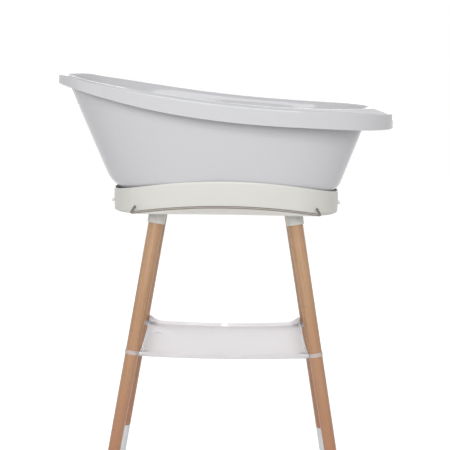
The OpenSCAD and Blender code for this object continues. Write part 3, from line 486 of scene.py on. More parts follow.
def bend(a, b, c, s):
    """Point on the curve that leaves a towards b and reaches c from b."""
    return a * (1 - s) ** 2 + b * 2 * s * (1 - s) + c * s ** 2


def shares(count):
    """Equal steps from 0 to 1."""
    return [i / count for i in range(count + 1)]


def turns(count):
    """Equal angles round a full turn."""
    return [2 * pi * i / count for i in range(count)]


def rounded(radius):
    """Three points round an edge, each as its distances in from the edge's two faces."""
    return [(radius, 0), (0.3 * radius, 0.3 * radius), (0, radius)]


def loft(rings, joined=False, capped=False):
    """Extrudes a circle through rings of points; joined merges the last ring with the first."""
    bm = bmesh.new()
    place = bm.verts.layers.int.new("place")
    circle = bmesh.ops.create_circle(bm, segments=len(rings[0]), radius=1.0)["verts"]
    for i, vert in enumerate(circle):
        vert[place] = i
    ring, edges = circle, bm.edges[:]
    for k, points in enumerate(rings):
        if k > 0:
            made = bmesh.ops.extrude_edge_only(bm, edges=edges)["geom"]
            ring = [e for e in made if isinstance(e, bmesh.types.BMVert)]
            edges = [e for e in made if isinstance(e, bmesh.types.BMEdge) and e.is_boundary]
        for vert in ring:
            vert.co = points[vert[place]]
    if joined:
        bmesh.ops.remove_doubles(bm, verts=bm.verts, dist=0.001 * MM)
    if capped:
        bmesh.ops.holes_fill(bm, edges=[e for e in bm.edges if e.is_boundary], sides=0)
    bmesh.ops.recalc_face_normals(bm, faces=bm.faces)
    return bm


def wire(path, radius, sides=20, chamfer_share=0.2):
    """Round wire along a path, with its two ends chamfered and closed."""
    side = (path[1] - path[0]).orthogonal()
    rings = []
    for i, spot in enumerate(path):
        ahead = (path[min(i + 1, len(path) - 1)] - path[max(i - 1, 0)]).normalized()
        side = (side - ahead * side.dot(ahead)).normalized()
        up = ahead.cross(side)
        rays = [(side * cos(t) + up * sin(t)) * radius for t in turns(sides)]
        rings.append([spot + ray for ray in rays])
        if i in (0, len(path) - 1):
            outward = -ahead if i == 0 else ahead
            tip = [spot + outward * chamfer_share * radius + ray * (1 - chamfer_share) for ray in rays]
            rings.insert(0 if i == 0 else len(rings), tip)
    return loft(rings, capped=True)


def rod(radius, low, high, matrix=Matrix(), segments=64):
    """Closed cylinder along z, carried to its place by a matrix."""
    bm = bmesh.new()
    bmesh.ops.create_cone(
        bm, cap_ends=True, segments=segments, radius1=radius, radius2=radius, depth=high - low,
    )
    bmesh.ops.translate(bm, vec=(0, 0, (low + high) / 2), verts=bm.verts)
    bmesh.ops.transform(bm, matrix=matrix, verts=bm.verts)
    return bm


def block(low, high):
    """Closed box between two corners."""
    low, high = Vector(low), Vector(high)
    bm = bmesh.new()
    bmesh.ops.create_cube(bm, size=1)
    bmesh.ops.scale(bm, vec=high - low, verts=bm.verts)
    bmesh.ops.translate(bm, vec=(low + high) / 2, verts=bm.verts)
    return bm


def loose_object(name, bm):
    """Makes a bmesh an object in the scene."""
    mesh = bpy.data.meshes.new(name)
    bm.to_mesh(mesh)
    bm.free()
    made = bpy.data.objects.new(name, mesh)
    bpy.context.scene.collection.objects.link(made)
    return made


def cut(bm, cutters):
    """Cuts closed shapes out of a closed shape."""
    body = loose_object("body", bm)
    tools = [loose_object("cutter", cutter) for cutter in cutters]
    for tool in tools:
        boolean = body.modifiers.new("Cut", "BOOLEAN")
        boolean.operation = "DIFFERENCE"
        boolean.solver = "EXACT"
        boolean.object = tool
    result = bmesh.new()
    result.from_object(body, bpy.context.evaluated_depsgraph_get())
    for made in [body, *tools]:
        bpy.data.meshes.remove(made.data)
    return result


def piece(name, bm, node, smooth_degrees=35):
    """Makes a bmesh the finished piece of a CAD node, with that node's body and finish."""
    for edge in bm.edges:
        edge.smooth = edge.is_manifold and edge.calc_face_angle(0) < radians(smooth_degrees)
    for face in bm.faces:
        face.smooth = True
    made = loose_object(name, bm)
    made.data.materials.append(finish_of(slot_of(node)))
    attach(made, body_of(node))
    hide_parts(node)
    return made


def round_edges(made, width_mm, segments=2, angle=35):
    """Rounds a piece's edges that turn by more than an angle in degrees, with a live bevel."""
    bevel = made.modifiers.new("Rounded edges", "BEVEL")
    bevel.width = width_mm * MM
    bevel.segments = segments
    bevel.limit_method = "ANGLE"
    bevel.angle_limit = radians(angle)
    bevel.harden_normals = True


def finished_copy(node, edge_mm, segments=2, smooth_degrees=35):
    """A CAD node's own shape with merged, smooth faces and edges rounded by so many millimetres."""
    bm = bmesh.new()
    bm.from_mesh(frame["nodes"][node].data)
    bmesh.ops.remove_doubles(bm, verts=bm.verts, dist=0.002 * MM)
    made = piece(node + "_finished", bm, node, smooth_degrees)
    if edge_mm:
        round_edges(made, edge_mm, segments)
    return made


def dress(node):
    """Gives a CAD node its finish and leaves its shape."""
    made = frame["nodes"][node]
    made.data.materials.clear()
    made.data.materials.append(finish_of(slot_of(node)))


# Tub

class TubForm:
    """The tub's curves: outlines seen from above, and heights along its length."""

    # How far the lower corner reaches up the wall and in over the bottom, at the side, head and foot
    CORNER_RISE = (36 * MM, 48 * MM, 30 * MM)
    CORNER_REACH = (34 * MM, 60 * MM, 40 * MM)
    # Shares of the half length from which the skirt deepens and the rim drops more towards the foot
    SKIRT_START, DROP_START = 0.37, 0.6
    # Powers that bend the fall of the rim, the skirt's depth and the rim's drop at the head
    FALL_BENDS, SKIRT_BEND, DROP_BEND = (1.25, 2.8), 2.2, 4

    def __init__(self, tub):
        self.tub = tub
        self.half_length, self.half_width, self.base_z = TUB_HIGH.x, TUB_HIGH.y, TUB_LOW.z
        # How far each outline reaches to the head, to the foot and to a side
        self.rim = self.reaches(tub.head_short, tub.foot_short, 0)
        self.top = self.reaches(tub.head_ledge, tub.foot_ledge, tub.side_ledge)
        self.base = self.reaches(tub.head_slope, tub.foot_slope, tub.side_slope)

    def reaches(self, head, foot, side):
        """Reaches of an outline that ends so far inside the tub's box."""
        return self.half_length - head, self.half_length - foot, self.half_width - side

    def fall(self, x):
        """Height of the rim's plain curve, which falls from the head to the foot."""
        along = clamp((x + self.half_length) / (2 * self.half_length))
        first, second = self.FALL_BENDS
        return self.base_z + self.tub.rim_rise + self.tub.head_rise * (1 - along ** first) ** second

    def crest(self, x):
        """Height of the crest: the plain curve, a little fuller just inside the head's tip."""
        inward = clamp((x + self.half_length - self.tub.head_ledge) / self.tub.head_fuller_reach)
        return self.fall(x) + self.tub.head_fuller * sin(pi * inward) ** 2

    def edge_z(self, x):
        """Height of the rim's outer edge."""
        along = x / self.half_length
        foot_share = eased(share_past(self.DROP_START, along))
        drop = mix(self.tub.rim_drop, self.tub.foot_drop, foot_share)
        return self.crest(x) - mix(drop, self.tub.head_drop, clamp(-along) ** self.DROP_BEND)

    def skirt_z(self, x):
        """Height of the skirt's lower edge."""
        along = x / self.half_length
        depth = mix(self.tub.skirt_middle, self.tub.skirt_head, clamp(-along) ** self.SKIRT_BEND)
        deeper = self.tub.skirt_foot - self.tub.skirt_middle
        return self.fall(x) - depth - deeper * eased(share_past(self.SKIRT_START, along))

    def outline(self, form, roundness, taper, inset, t):
        """Point at an angle on a rounded outline, which tapers towards the foot."""
        c = abs(cos(t)) ** (2 / roundness) * (1 if cos(t) >= 0 else -1)
        s = abs(sin(t)) ** (2 / roundness) * (1 if sin(t) >= 0 else -1)
        half = (form[0] + form[1]) / 2 - inset
        return Vector(((form[1] - form[0]) / 2 + half * c, (form[2] - inset) * s * (1 - taper * c), 0))

    # Outlines of the rim, of the wall's upper end and of its foot, at an inset and an angle
    def rim_at(self, inset, t):
        return self.outline(self.rim, self.tub.rim_round, 0, inset, t)

    def top_at(self, inset, t):
        return self.outline(self.top, self.tub.top_round, self.tub.taper, inset, t)

    def base_at(self, inset, t):
        return self.outline(self.base, self.tub.base_round, 0, inset, t)

    def wall_at(self, inset, height, t):
        """Point on the straight part of the wall, a height above its foot."""
        low, high = self.base_at(inset, t), self.top_at(inset, t)
        low.z, high.z = self.base_z + inset, self.crest(high.x)
        return mix(low, high, height / (high.z - low.z))

    def around(self, values, t):
        """Blends a side, a head and a foot value round the tub."""
        side, head, foot = values
        return mix(side, head if cos(t) < 0 else foot, cos(t) ** 2)

    def corner_at(self, inset, s, t):
        """Rounded corner from the wall, at 0, to the bottom, at 1."""
        reach = self.around(self.CORNER_REACH, t) - inset
        foot, floor = self.base_at(inset, t), self.base_at(inset + reach, t)
        foot.z = floor.z = self.base_z + inset
        return bend(self.wall_at(inset, self.around(self.CORNER_RISE, t) - inset, t), foot, floor, s)

    def rim_point(self, inset, z_of, below, t):
        """Point on the rim's outline, a distance below the height that z_of gives."""
        spot = self.rim_at(inset, t)
        spot.z = z_of(spot.x) - below
        return spot

    def roll_at(self, s, t):
        """Roll from the inner wall, at 0, to the rim's shoulder, at 1."""
        wall, roll, shoulder_drop = self.tub.wall, self.tub.crest_roll, 1 * MM
        high, out = self.top_at(wall, t), self.top_at(-roll, t)
        start = self.wall_at(wall, self.crest(high.x) - self.base_z - wall - roll, t)
        high.z, out.z = self.crest(high.x), self.crest(out.x) - shoulder_drop
        return bend(start, high, out, s)

    def hole_at(self, z, t):
        """Edge of the drain's hole."""
        radius = self.tub.drain_hole / 2
        middle = (OUTLET_LOW.x + OUTLET_HIGH.x) / 2
        return Vector((middle + radius * cos(t), radius * sin(t), z))

    def section(self, t):
        """One closed section of the wall, from the drain's hole out, up, over the rim and back inside."""
        wall, edge, rim_edge = self.tub.wall, self.tub.skirt_edge, self.tub.rim_edge
        # The rim's underside lies a little more than a wall below its top, and a fillet joins the skirt
        under, fillet = 1.4 * wall, 4 * MM
        points = [self.hole_at(self.base_z, t)]
        points += [mix(points[0], self.corner_at(0, 1, t), s) for s in (0.5, 0.97)]
        points += [self.corner_at(0, 1 - s, t) for s in shares(10)]
        top = self.top_at(0, t)
        top.z = self.crest(top.x) - under
        points += [mix(self.corner_at(0, 0, t), top, s) for s in (0.02, 0.35, 0.7, 0.94, 0.98)]
        # Under the rim and down inside the skirt
        inner = self.rim_point(wall, self.edge_z, under, t)
        points += [mix(top, inner, s) for s in (0.03, 0.12, 0.5, 0.85)]
        skirt_top = self.rim_point(wall, self.edge_z, under + fillet, t)
        points += [bend(points[-1], inner, skirt_top, s) for s in (0.33, 0.66, 1)]
        skirt_in = self.rim_point(wall, self.skirt_z, -edge, t)
        points += [mix(skirt_top, skirt_in, s) for s in (0.5, 0.98, 1)]
        # Round the skirt's lower edge
        low_in, low_out = (self.rim_point(inset, self.skirt_z, 0, t) for inset in (wall, 0))
        skirt_out = self.rim_point(0, self.skirt_z, -edge, t)
        points += [bend(skirt_in, low_in, mix(low_in, low_out, 0.4), s) for s in (0.5, 1)]
        points += [bend(mix(low_in, low_out, 0.6), low_out, skirt_out, s) for s in (0, 0.5, 1)]
        # Up the skirt, over the rim's rounded edge and up the sloping rim
        brow = self.rim_point(0, self.edge_z, rim_edge, t)
        points += [mix(skirt_out, brow, s) for s in (0.03, 0.5, 0.97, 1)]
        corner, flat = (self.rim_point(inset, self.edge_z, 0, t) for inset in (0, rim_edge))
        points += [bend(brow, corner, flat, s) for s in (0.2, 0.4, 0.6, 0.8, 1)]
        points += [mix(flat, self.roll_at(1, t), s) for s in (0.04, 0.5, 0.96)]
        points += [self.roll_at(1 - s, t) for s in shares(9)]
        # Down the inside and over the bottom to the hole
        points += [mix(self.roll_at(0, t), self.corner_at(wall, 0, t), s) for s in (0.04, 0.3, 0.65, 0.98)]
        points += [self.corner_at(wall, s, t) for s in shares(10)]
        hole = self.hole_at(self.base_z + wall, t)
        points += [mix(points[-1], hole, s) for s in (0.03, 0.5, 1)]
        return points + [points[0]]


def loft_sections(sections):
    """Joins closed sections that stand all round a piece."""
    return loft([list(ring) for ring in zip(*sections)], joined=True)


class BATH_OT_tub(bpy.types.Operator):
    """Models the tub as one moulding with a rolled crest, a sloping rim and a skirt, and its catches"""
    bl_idname = "bath.tub"
    bl_label = "Tub shell"

    def execute(self, context):
        form = TubForm(settings().tub)
        bm = loft_sections([form.section(t) for t in turns(settings().tub.segments)])
        piece("tub_moulding", bm, "tub_shell", smooth_degrees=50)
        finished_copy("tub_catches", 0.4)
        return {"FINISHED"}


class BATH_OT_drain(bpy.types.Operator):
    """Finishes the drain: outlet, nut, seal, and the plug with its arched grip"""
    bl_idname = "bath.drain"
    bl_label = "Drain and plug"

    def execute(self, context):
        finished_copy("drain_outlet", 0.6, segments=3)
        finished_copy("drain_nut", 0.5)
        finished_copy("drain_plug", 0.5, segments=3)
        for node in ("drain_seal", "plug_seal"):
            dress(node)
        return {"FINISHED"}


# Apron

class Oval:
    """The apron's outline: two end arcs and two side arcs that meet smoothly."""

    def __init__(self, half_length, half_width, end_radius):
        self.end_x = half_length - end_radius
        self.end_r = end_radius
        self.side_r = (self.end_x ** 2 + half_width ** 2 - end_radius ** 2) / (half_width - end_radius) / 2
        self.side_y = self.side_r - half_width
        self.turn = atan2(self.side_y, self.end_x)

    def stations(self, end_steps, side_steps):
        """Centre, radius and angle of each point around the oval."""
        found = []
        for half in (0, pi):
            sign = cos(half)
            found += [
                (Vector((sign * self.end_x, 0, 0)), self.end_r, half + mix(-self.turn, self.turn, s))
                for s in shares(end_steps)[:-1]
            ]
            found += [
                (Vector((0, -sign * self.side_y, 0)), self.side_r, half + mix(self.turn, pi - self.turn, s))
                for s in shares(side_steps)[:-1]
            ]
        return found


def arc_radius(half, fall):
    """Radius of an arc that falls by an amount over its half length."""
    return (half ** 2 + fall ** 2) / (2 * fall)


def arch_z(top, fall, half, x):
    """Height of an arch of one arc over a place along the tub."""
    radius = arc_radius(half, fall)
    return top - radius + sqrt(radius ** 2 - min(abs(x), half) ** 2)


def apron_section(station):
    """One closed section of the apron: up its outside, over its rounded top edge and down its inside."""
    stand = settings().stand
    wall, edge, fillet = stand.apron_wall, 1.2 * MM, 0.8 * MM
    centre, radius, angle = station
    ahead = Vector((cos(angle), sin(angle), 0))
    x = centre.x + radius * ahead.x
    low = arch_z(APRON_LOW.z + stand.apron_bottom_fall, stand.apron_bottom_fall, APRON_HIGH.x, x)
    high = arch_z(APRON_HIGH.z, stand.apron_top_fall, APRON_HIGH.x, x)

    def at(inset, z):
        # The ends are drawn in above and below the latches
        drawn_in = stand.end_draw * ((z - stand.widest_z) / (APRON_HIGH.z - stand.widest_z)) ** 2
        spot = centre + ahead * (radius - inset - drawn_in * ahead.x ** 2)
        spot.z = z
        return spot

    # From the inside to the outside of the wall
    rim = [(wall - inset, depth) for inset, depth in reversed(rounded(fillet))] + rounded(edge)
    points = [at(inset, low + depth) for inset, depth in rim]
    points += [at(0, mix(low + edge, high - edge, s)) for s in shares(10)[1:-1]]
    points += [at(inset, high - depth) for inset, depth in reversed(rim)]
    points += [at(wall, mix(high - fillet, low + fillet, s)) for s in shares(5)[1:-1]]
    return points + [points[0]]


class BATH_OT_apron(bpy.types.Operator):
    """Models the apron with its two arches, its drawn-in ends and its latch windows, and the latches"""
    bl_idname = "bath.apron"
    bl_label = "Apron"

    def execute(self, context):
        stand = settings().stand
        oval = Oval(APRON_HIGH.x, APRON_HIGH.y, stand.end_radius)
        stations = oval.stations(end_steps=96, side_steps=110)
        bm = loft_sections([apron_section(station) for station in stations])
        half = stand.latch_width / 2 + stand.latch_gap
        latch_top = TUB_LOW.z - stand.latch_drop
        low, high = latch_top - stand.latch_height - stand.latch_gap, latch_top + 2 * stand.latch_gap
        clearance = 0.2 * MM
        hole_radius = stand.rail_width / 2 + clearance
        cutters = []
        for sign in SIDES.values():
            ends = sorted((sign * oval.end_x, sign * 2 * APRON_HIGH.x))
            cutters.append(block((ends[0], -half, low), (ends[1], half, high)))
            middle = Matrix.Translation((sign * rail_half(), 0, rail_end_z()))
            forward = middle @ Matrix.Rotation(pi / 2, 4, "X")
            cutters.append(rod(hole_radius, 0, -RAIL_LOW.y, forward, segments=32))
        made = piece("apron_moulding", cut(bm, cutters), "apron")
        round_edges(made, 0.5, angle=50)
        for side in SIDES:
            finished_copy("latch_" + side, 0.5)
            finished_copy("latch_pin_" + side, 0.2)
            finished_copy("latch_spring_" + side, 0, smooth_degrees=80)
        finished_copy("apron_screws", 0.3)
        return {"FINISHED"}


class BATH_OT_frame(bpy.types.Operator):
    """Finishes the base frame inside the apron and the pads that carry the tub"""
    bl_idname = "bath.frame"
    bl_label = "Base frame"

    def execute(self, context):
        finished_copy("base_frame", 0.5)
        finished_copy("support_pads", 0.4)
        return {"FINISHED"}


def rail_half():
    """From the middle of the apron to the middle of the wire's arms."""
    return RAIL_HIGH.x - settings().stand.rail_width / 2


def rail_end_z():
    """Height of the wire's arms."""
    return RAIL_HIGH.z - settings().stand.rail_drop - settings().stand.rail_fall


def rail_path():
    """Middle of the wire's right half: along the front in one arc, round its bend and back to its nut."""
    stand = settings().stand
    bend_r, arc_r = stand.rail_bend, arc_radius(rail_half(), stand.rail_fall)
    front_y, front_z = RAIL_LOW.y + stand.rail_width / 2, RAIL_HIGH.z - stand.rail_drop
    slope = asin((rail_half() - bend_r) / arc_r)
    path = [
        Vector((arc_r * sin(slope * s), front_y, front_z - arc_r * (1 - cos(slope * s))))
        for s in shares(30)
    ]
    ahead = Vector((cos(slope), 0, -sin(slope)))
    hub = path[-1] + Vector((0, bend_r, 0))
    path += [
        hub + bend_r * (ahead * sin(pi / 2 * s) - Vector((0, cos(pi / 2 * s), 0)))
        for s in shares(10)[1:]
    ]
    bend_end = path[-1]
    nut = Vector((bend_end.x, RAIL_HIGH.y, bend_end.z))
    return path + [mix(bend_end, nut, s) for s in (0.1, 0.5, 1)]


class BATH_OT_rail(bpy.types.Operator):
    """Bends the towel rail's wire and finishes its nuts"""
    bl_idname = "bath.rail"
    bl_label = "Towel rail"

    def execute(self, context):
        right = rail_path()
        left = [Vector((-spot.x, spot.y, spot.z)) for spot in right[:0:-1]]
        piece("towel_rail_wire", wire(left + right, settings().stand.rail_width / 2), "towel_rail")
        nuts = finished_copy("rail_nuts", 0.3)
        nuts_low, nuts_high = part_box("rail_nuts")
        nuts.data.transform(Matrix.Translation((0, 0, rail_end_z() - (nuts_low.z + nuts_high.z) / 2)))
        return {"FINISHED"}


# Legs

def leg_frame():
    """Frame of the front left leg: origin on the floor, z along the leg, x towards the middle."""
    stand = settings().stand
    lean_x, lean_y = stand.splay_x / stand.plate_z, stand.splay_y / stand.plate_z
    lean = atan2(hypot(lean_x, lean_y), 1)
    turn = Matrix.Rotation(atan2(lean_y, lean_x), 4, "Z") @ Matrix.Rotation(lean, 4, "Y")
    return Matrix.Translation((-stand.foot_x, -stand.foot_y, 0)) @ turn, cos(lean)


def leg_radius(z):
    """Radius of the tapered leg at a height over the floor."""
    stand = settings().stand
    socket_z = stand.plate_z - stand.socket_length
    return mix(stand.foot_width, stand.leg_width, min(1.0, z / socket_z)) / 2


def turned(profile, segments=72):
    """Spins a profile of radius and length points about the leg's axis."""
    bm = bmesh.new()
    verts = [bm.verts.new((r, 0, z)) for r, z in profile]
    edges = [bm.edges.new(pair) for pair in zip(verts, verts[1:])]
    bmesh.ops.spin(
        bm, geom=verts + edges, cent=(0, 0, 0), axis=(0, 0, 1), angle=2 * pi, steps=segments,
        use_merge=True,
    )
    bmesh.ops.remove_doubles(bm, verts=bm.verts, dist=0.001 * MM)
    bmesh.ops.recalc_face_normals(bm, faces=bm.faces)
    return bm


def to_corner(bm, signs):
    """Carries a front left piece to its corner."""
    bmesh.ops.transform(bm, matrix=Matrix.Diagonal((-signs[0], -signs[1], 1, 1)), verts=bm.verts)
    bmesh.ops.recalc_face_normals(bm, faces=bm.faces)


class BATH_OT_legs(bpy.types.Operator):
    """Turns the four tapered legs, each with its own length of grain"""
    bl_idname = "bath.legs"
    bl_label = "Legs"

    def execute(self, context):
        stand = settings().stand
        matrix, upright = leg_frame()
        socket_z = stand.plate_z - stand.socket_length
        cap_z, spigot_z, top_z = stand.cap_height, stand.spigot_z, stand.plate_z - stand.leg_gap
        spigot_r, top_r, cap_r = stand.spigot_width / 2, stand.leg_width / 2, leg_radius(cap_z)
        chamfer = 1 * MM
        profile = [
            (0, spigot_z), (spigot_r - chamfer, spigot_z), (spigot_r, spigot_z + chamfer),
            (spigot_r, cap_z), (cap_r - 0.4 * chamfer, cap_z), (cap_r, cap_z + 0.5 * chamfer),
        ]
        profile += [(leg_radius(z), z) for z in (mix(cap_z, socket_z, s) for s in shares(8)[1:])]
        profile += [(top_r, top_z - chamfer), (top_r - chamfer, top_z), (0, top_z)]
        # Each leg's grain comes from another part of the wood, in metres from the last one's
        next_leg = Vector((0.07, 0.05, 0.3))
        for leg_number, (corner, signs) in enumerate(CORNERS.items()):
            bm = turned([(r, z / upright) for r, z in profile])
            grain = bm.verts.layers.float_vector.new("grain")
            for vert in bm.verts:
                vert[grain] = vert.co + leg_number * next_leg
            bmesh.ops.transform(bm, matrix=matrix, verts=bm.verts)
            to_corner(bm, signs)
            piece("leg_turned_" + corner, bm, "leg_" + corner)
        return {"FINISHED"}


class BATH_OT_caps(bpy.types.Operator):
    """Finishes the foot caps and their rubber pads"""
    bl_idname = "bath.caps"
    bl_label = "Foot caps"

    def execute(self, context):
        for corner in CORNERS:
            finished_copy("foot_cap_" + corner, 0.6, segments=3)
        finished_copy("foot_pads", 0.4)
        return {"FINISHED"}


def socket_form():
    """Front left socket: a sleeve round the leg that flares out into a round flange under the plate."""
    stand = settings().stand
    leg, upright = leg_frame()
    top = leg @ Vector((0, 0, stand.plate_z / upright))
    flat = Matrix.Translation((top.x, top.y, 0))
    flat = flat @ Matrix.Rotation(atan2(stand.splay_y, stand.splay_x), 4, "Z")

    def sleeve(radius, z):
        return [leg @ Vector((radius * cos(t), radius * sin(t), z / upright)) for t in turns(72)]

    def level(radius, z):
        return [flat @ Vector((radius * cos(t), radius * sin(t), z)) for t in turns(72)]

    edge, bore_drop, swell, flare = 0.7 * MM, 12 * MM, stand.socket_swell, stand.socket_flare
    inner = stand.leg_width / 2 + stand.socket_gap
    outer, flange_r = inner + stand.socket_wall, stand.flange_width / 2
    low, flange_z = stand.plate_z - stand.socket_length, stand.plate_z - stand.flange_thickness
    rings = [sleeve(inner, stand.plate_z - bore_drop), sleeve(inner, low + 0.5 * edge)]
    rings.append(sleeve(inner + 0.4 * edge, low))
    rings += [sleeve(outer - inset, low + up) for inset, up in rounded(edge)]
    rings.append(sleeve(outer + swell / 2, (low + flange_z) / 2))
    # The flare turns from the leaning sleeve to the level flange
    sleeve_end = sleeve(outer + swell, flange_z - 1.6 * flare)
    corner, flange_start = sleeve(outer + swell, flange_z), level(outer + swell + flare, flange_z)
    rings += [
        [bend(a, b, c, s) for a, b, c in zip(sleeve_end, corner, flange_start)] for s in shares(6)
    ]
    rings += [level(flange_r - inset, flange_z + up) for inset, up in rounded(edge)]
    rings.append(level(flange_r, stand.plate_z))
    return loft(rings, capped=True)


class BATH_OT_sockets(bpy.types.Operator):
    """Models the leg sockets and finishes their screws and bolts"""
    bl_idname = "bath.sockets"
    bl_label = "Sockets"

    def execute(self, context):
        for corner, signs in CORNERS.items():
            bm = socket_form()
            to_corner(bm, signs)
            piece("socket_moulding_" + corner, bm, "socket_" + corner)
        finished_copy("socket_screws", 0.3)
        finished_copy("leg_bolts", 0.5)
        return {"FINISHED"}


class TrayForm:
    """The shelf's outline: the front bows out, the back bows in, and the four corners flare."""

    # Shares of the half length, or of the front's or back's place, from which each form rises
    SIDE_FLARE, BACK_FLARE, HORN = 0.72, 0.83, 0.8

    def __init__(self, shelf):
        self.shelf = shelf
        self.half = shelf.half_length

    def side_x(self, y, inset):
        """Place along the tub of a side edge."""
        flare = share_past(self.SIDE_FLARE, abs(y) / self.shelf.front)
        return self.half - inset + self.shelf.corner_flare * flare ** 2

    def front_y(self, x, inset):
        """Place across the tub of the front edge."""
        return -self.shelf.front + inset + self.shelf.front_bow * (x / self.half) ** 2

    def back_y(self, x, inset):
        """Place across the tub of the back edge."""
        along = abs(x) / self.half
        flare = self.shelf.back_flare * share_past(self.BACK_FLARE, along) ** 2
        return self.shelf.back - inset + self.shelf.back_bow * along ** 2 + flare

    def horn(self, x, y):
        """0 on the tray and 1 in its two back corners."""
        along, across = abs(x) / self.half, y / self.shelf.back
        return share_past(self.HORN, along) ** 2 * share_past(self.HORN, across)

    def ring(self, inset, z):
        """Outline at an inset and a height, round from the front left corner."""
        front_x, back_end = self.side_x(self.shelf.front, inset), self.back_y(self.half, inset)
        back_x = self.side_x(back_end, inset)
        front = [(x, self.front_y(x, inset)) for x in (front_x * (2 * s - 1) for s in shares(72))]
        low = self.front_y(self.half, inset)
        right = [(self.side_x(y, inset), y) for y in (mix(low, back_end, s) for s in shares(30)[1:-1])]
        back = [(x, self.back_y(x, inset)) for x in (back_x * (1 - 2 * s) for s in shares(72))]
        left = [(-x, y) for x, y in reversed(right)]
        rise = self.shelf.horn_rise * clamp((z - TRAY_LOW.z - self.shelf.thickness) / self.shelf.lip_height)
        return [Vector((x, y, z + rise * self.horn(x, y))) for x, y in front + right + back + left]


def tray_form():
    """Shelf tray: a floor with a raised, rounded lip all round."""
    shelf = settings().shelf
    form = TrayForm(shelf)
    base, top = TRAY_LOW.z, TRAY_LOW.z + shelf.lip_height
    floor, lip = base + shelf.thickness, shelf.lip_thickness
    # Roundings in millimetres: in from the lip's outer face and up from the base, in from one of its
    # faces and down from its top, and in from its inner face and up from the floor
    under = ((2.5, 0), (1.2, 0), (0.35, 0.35), (0, 1.2))
    brow = ((0, 0.9), (0.25, 0.25), (0.8, 0))
    foot = ((0, 2.5), (0.2, 1.4), (0.8, 0.5), (2, 0.06), (3, 0))
    profile = [(inset * MM, base + up * MM) for inset, up in under]
    profile += [(0, mix(base, top, s)) for s in (0.4, 0.7)]
    profile += [(inset * MM, top - down * MM) for inset, down in brow]
    profile += [(lip - inset * MM, top - down * MM) for inset, down in reversed(brow)]
    profile += [(lip, mix(top, floor, 0.5))]
    profile += [(lip + inset * MM, floor + up * MM) for inset, up in foot]
    return loft([form.ring(inset, z) for inset, z in profile], capped=True)


def stadium(width, length, low, high, middle):
    """Closed block with two round ends, long from front to back."""
    radius = width / 2
    reach = length / 2 - radius
    rings = []
    for z in (low, high):
        ends = [(radius * cos(t), radius * sin(t) + (reach if t < pi else -reach)) for t in turns(48)]
        rings.append([middle + Vector((x, y, z)) for x, y in ends])
    return loft(rings, capped=True)


class BATH_OT_shelf(bpy.types.Operator):
    """Models the shelf tray with its lip, channel, recesses and bosses, and finishes its clips"""
    bl_idname = "bath.shelf"
    bl_label = "Shelf"

    def execute(self, context):
        shelf = settings().shelf
        floor = TRAY_LOW.z + shelf.thickness
        low, high = floor - shelf.channel_depth, floor + 2 * shelf.lip_height
        front, back = -shelf.front + 2 * shelf.lip_thickness, shelf.back - 2 * shelf.lip_thickness
        channel, notch, gap = shelf.channel_width / 2, shelf.notch_width / 2, 1 * MM
        cutters = [
            block((-channel, front + gap, low), (channel, back - gap, high)),
            block((-notch, shelf.back / 2, floor), (notch, 2 * shelf.back, high)),
        ]
        for sign in SIDES.values():
            middle = Vector((sign * shelf.recess_x, shelf.recess_y, 0))
            cutters.append(stadium(shelf.recess_width, shelf.recess_length, low, high, middle))
        leg, upright = leg_frame()
        clip_place, past_tray = shelf.clip_z / upright, 60 * MM
        around_leg = leg_radius(shelf.clip_z) + shelf.clip_reach
        for signs in CORNERS.values():
            cutter = rod(around_leg, clip_place - past_tray, clip_place + past_tray, leg, segments=96)
            to_corner(cutter, signs)
            cutters.append(cutter)
        bm = cut(tray_form(), cutters)
        radius, sunk = shelf.boss_width / 2, shelf.thickness / 2
        boss_z = floor + (shelf.boss_height - sunk) / 2
        for along, across in CORNERS.values():
            spot = Vector((along * shelf.boss_x, across * shelf.boss_y, boss_z))
            bmesh.ops.create_cone(
                bm, cap_ends=True, segments=32, radius1=radius, radius2=radius,
                depth=shelf.boss_height + sunk, matrix=Matrix.Translation(spot),
            )
        made = piece("shelf_tray_moulding", bm, "shelf_tray", smooth_degrees=40)
        round_edges(made, 0.4, angle=45)
        for corner in CORNERS:
            finished_copy("shelf_clip_" + corner, 0.5)
        finished_copy("shelf_screws", 0.3)
        return {"FINISHED"}


# Studio

# Each lamp's width, height, place and the point it looks at, in metres
SOFT_BOXES = {
    "front": (2.6, 0.7, (0, -2.5, 1.62), (0, 0, 0.8)),
    "high": (3.6, 0.45, (-0.25, -2.45, 2.3), (0, 0.2, 0.9)),
    "side": (1.2, 1.0, (-2.4, -0.8, 0.6), (0, 0, 0.6)),
    "back": (3.2, 0.7, (0, 2.6, 1.1), (0, 0, 0.6)),
}


def soft_box(name, watts, width, height, place, target):
    """A rectangular lamp that looks at its target."""
    data = bpy.data.lights.new(name, "AREA")
    data.shape = "RECTANGLE"
    data.size, data.size_y = width, height
    data.energy = watts
    lamp = bpy.data.objects.new(name, data)
    lamp.location = place
    lamp.rotation_euler = (Vector(target) - Vector(place)).to_track_quat("-Z", "Y").to_euler()
    lamp.visible_camera = False
    bpy.context.scene.collection.objects.link(lamp)


def seen_share(tree):
    """1 for rays that see the background directly, in a mirror or through glass."""
    path = add_node(tree, "ShaderNodeLightPath").outputs
    either = add_node(
        tree, "ShaderNodeMath", {0: path["Is Camera Ray"], 1: path["Is Glossy Ray"]}, operation="MAXIMUM",
    )
    return add_node(
        tree, "ShaderNodeMath", {0: either.outputs[0], 1: path["Is Transmission Ray"]}, operation="MAXIMUM",
    ).outputs[0]


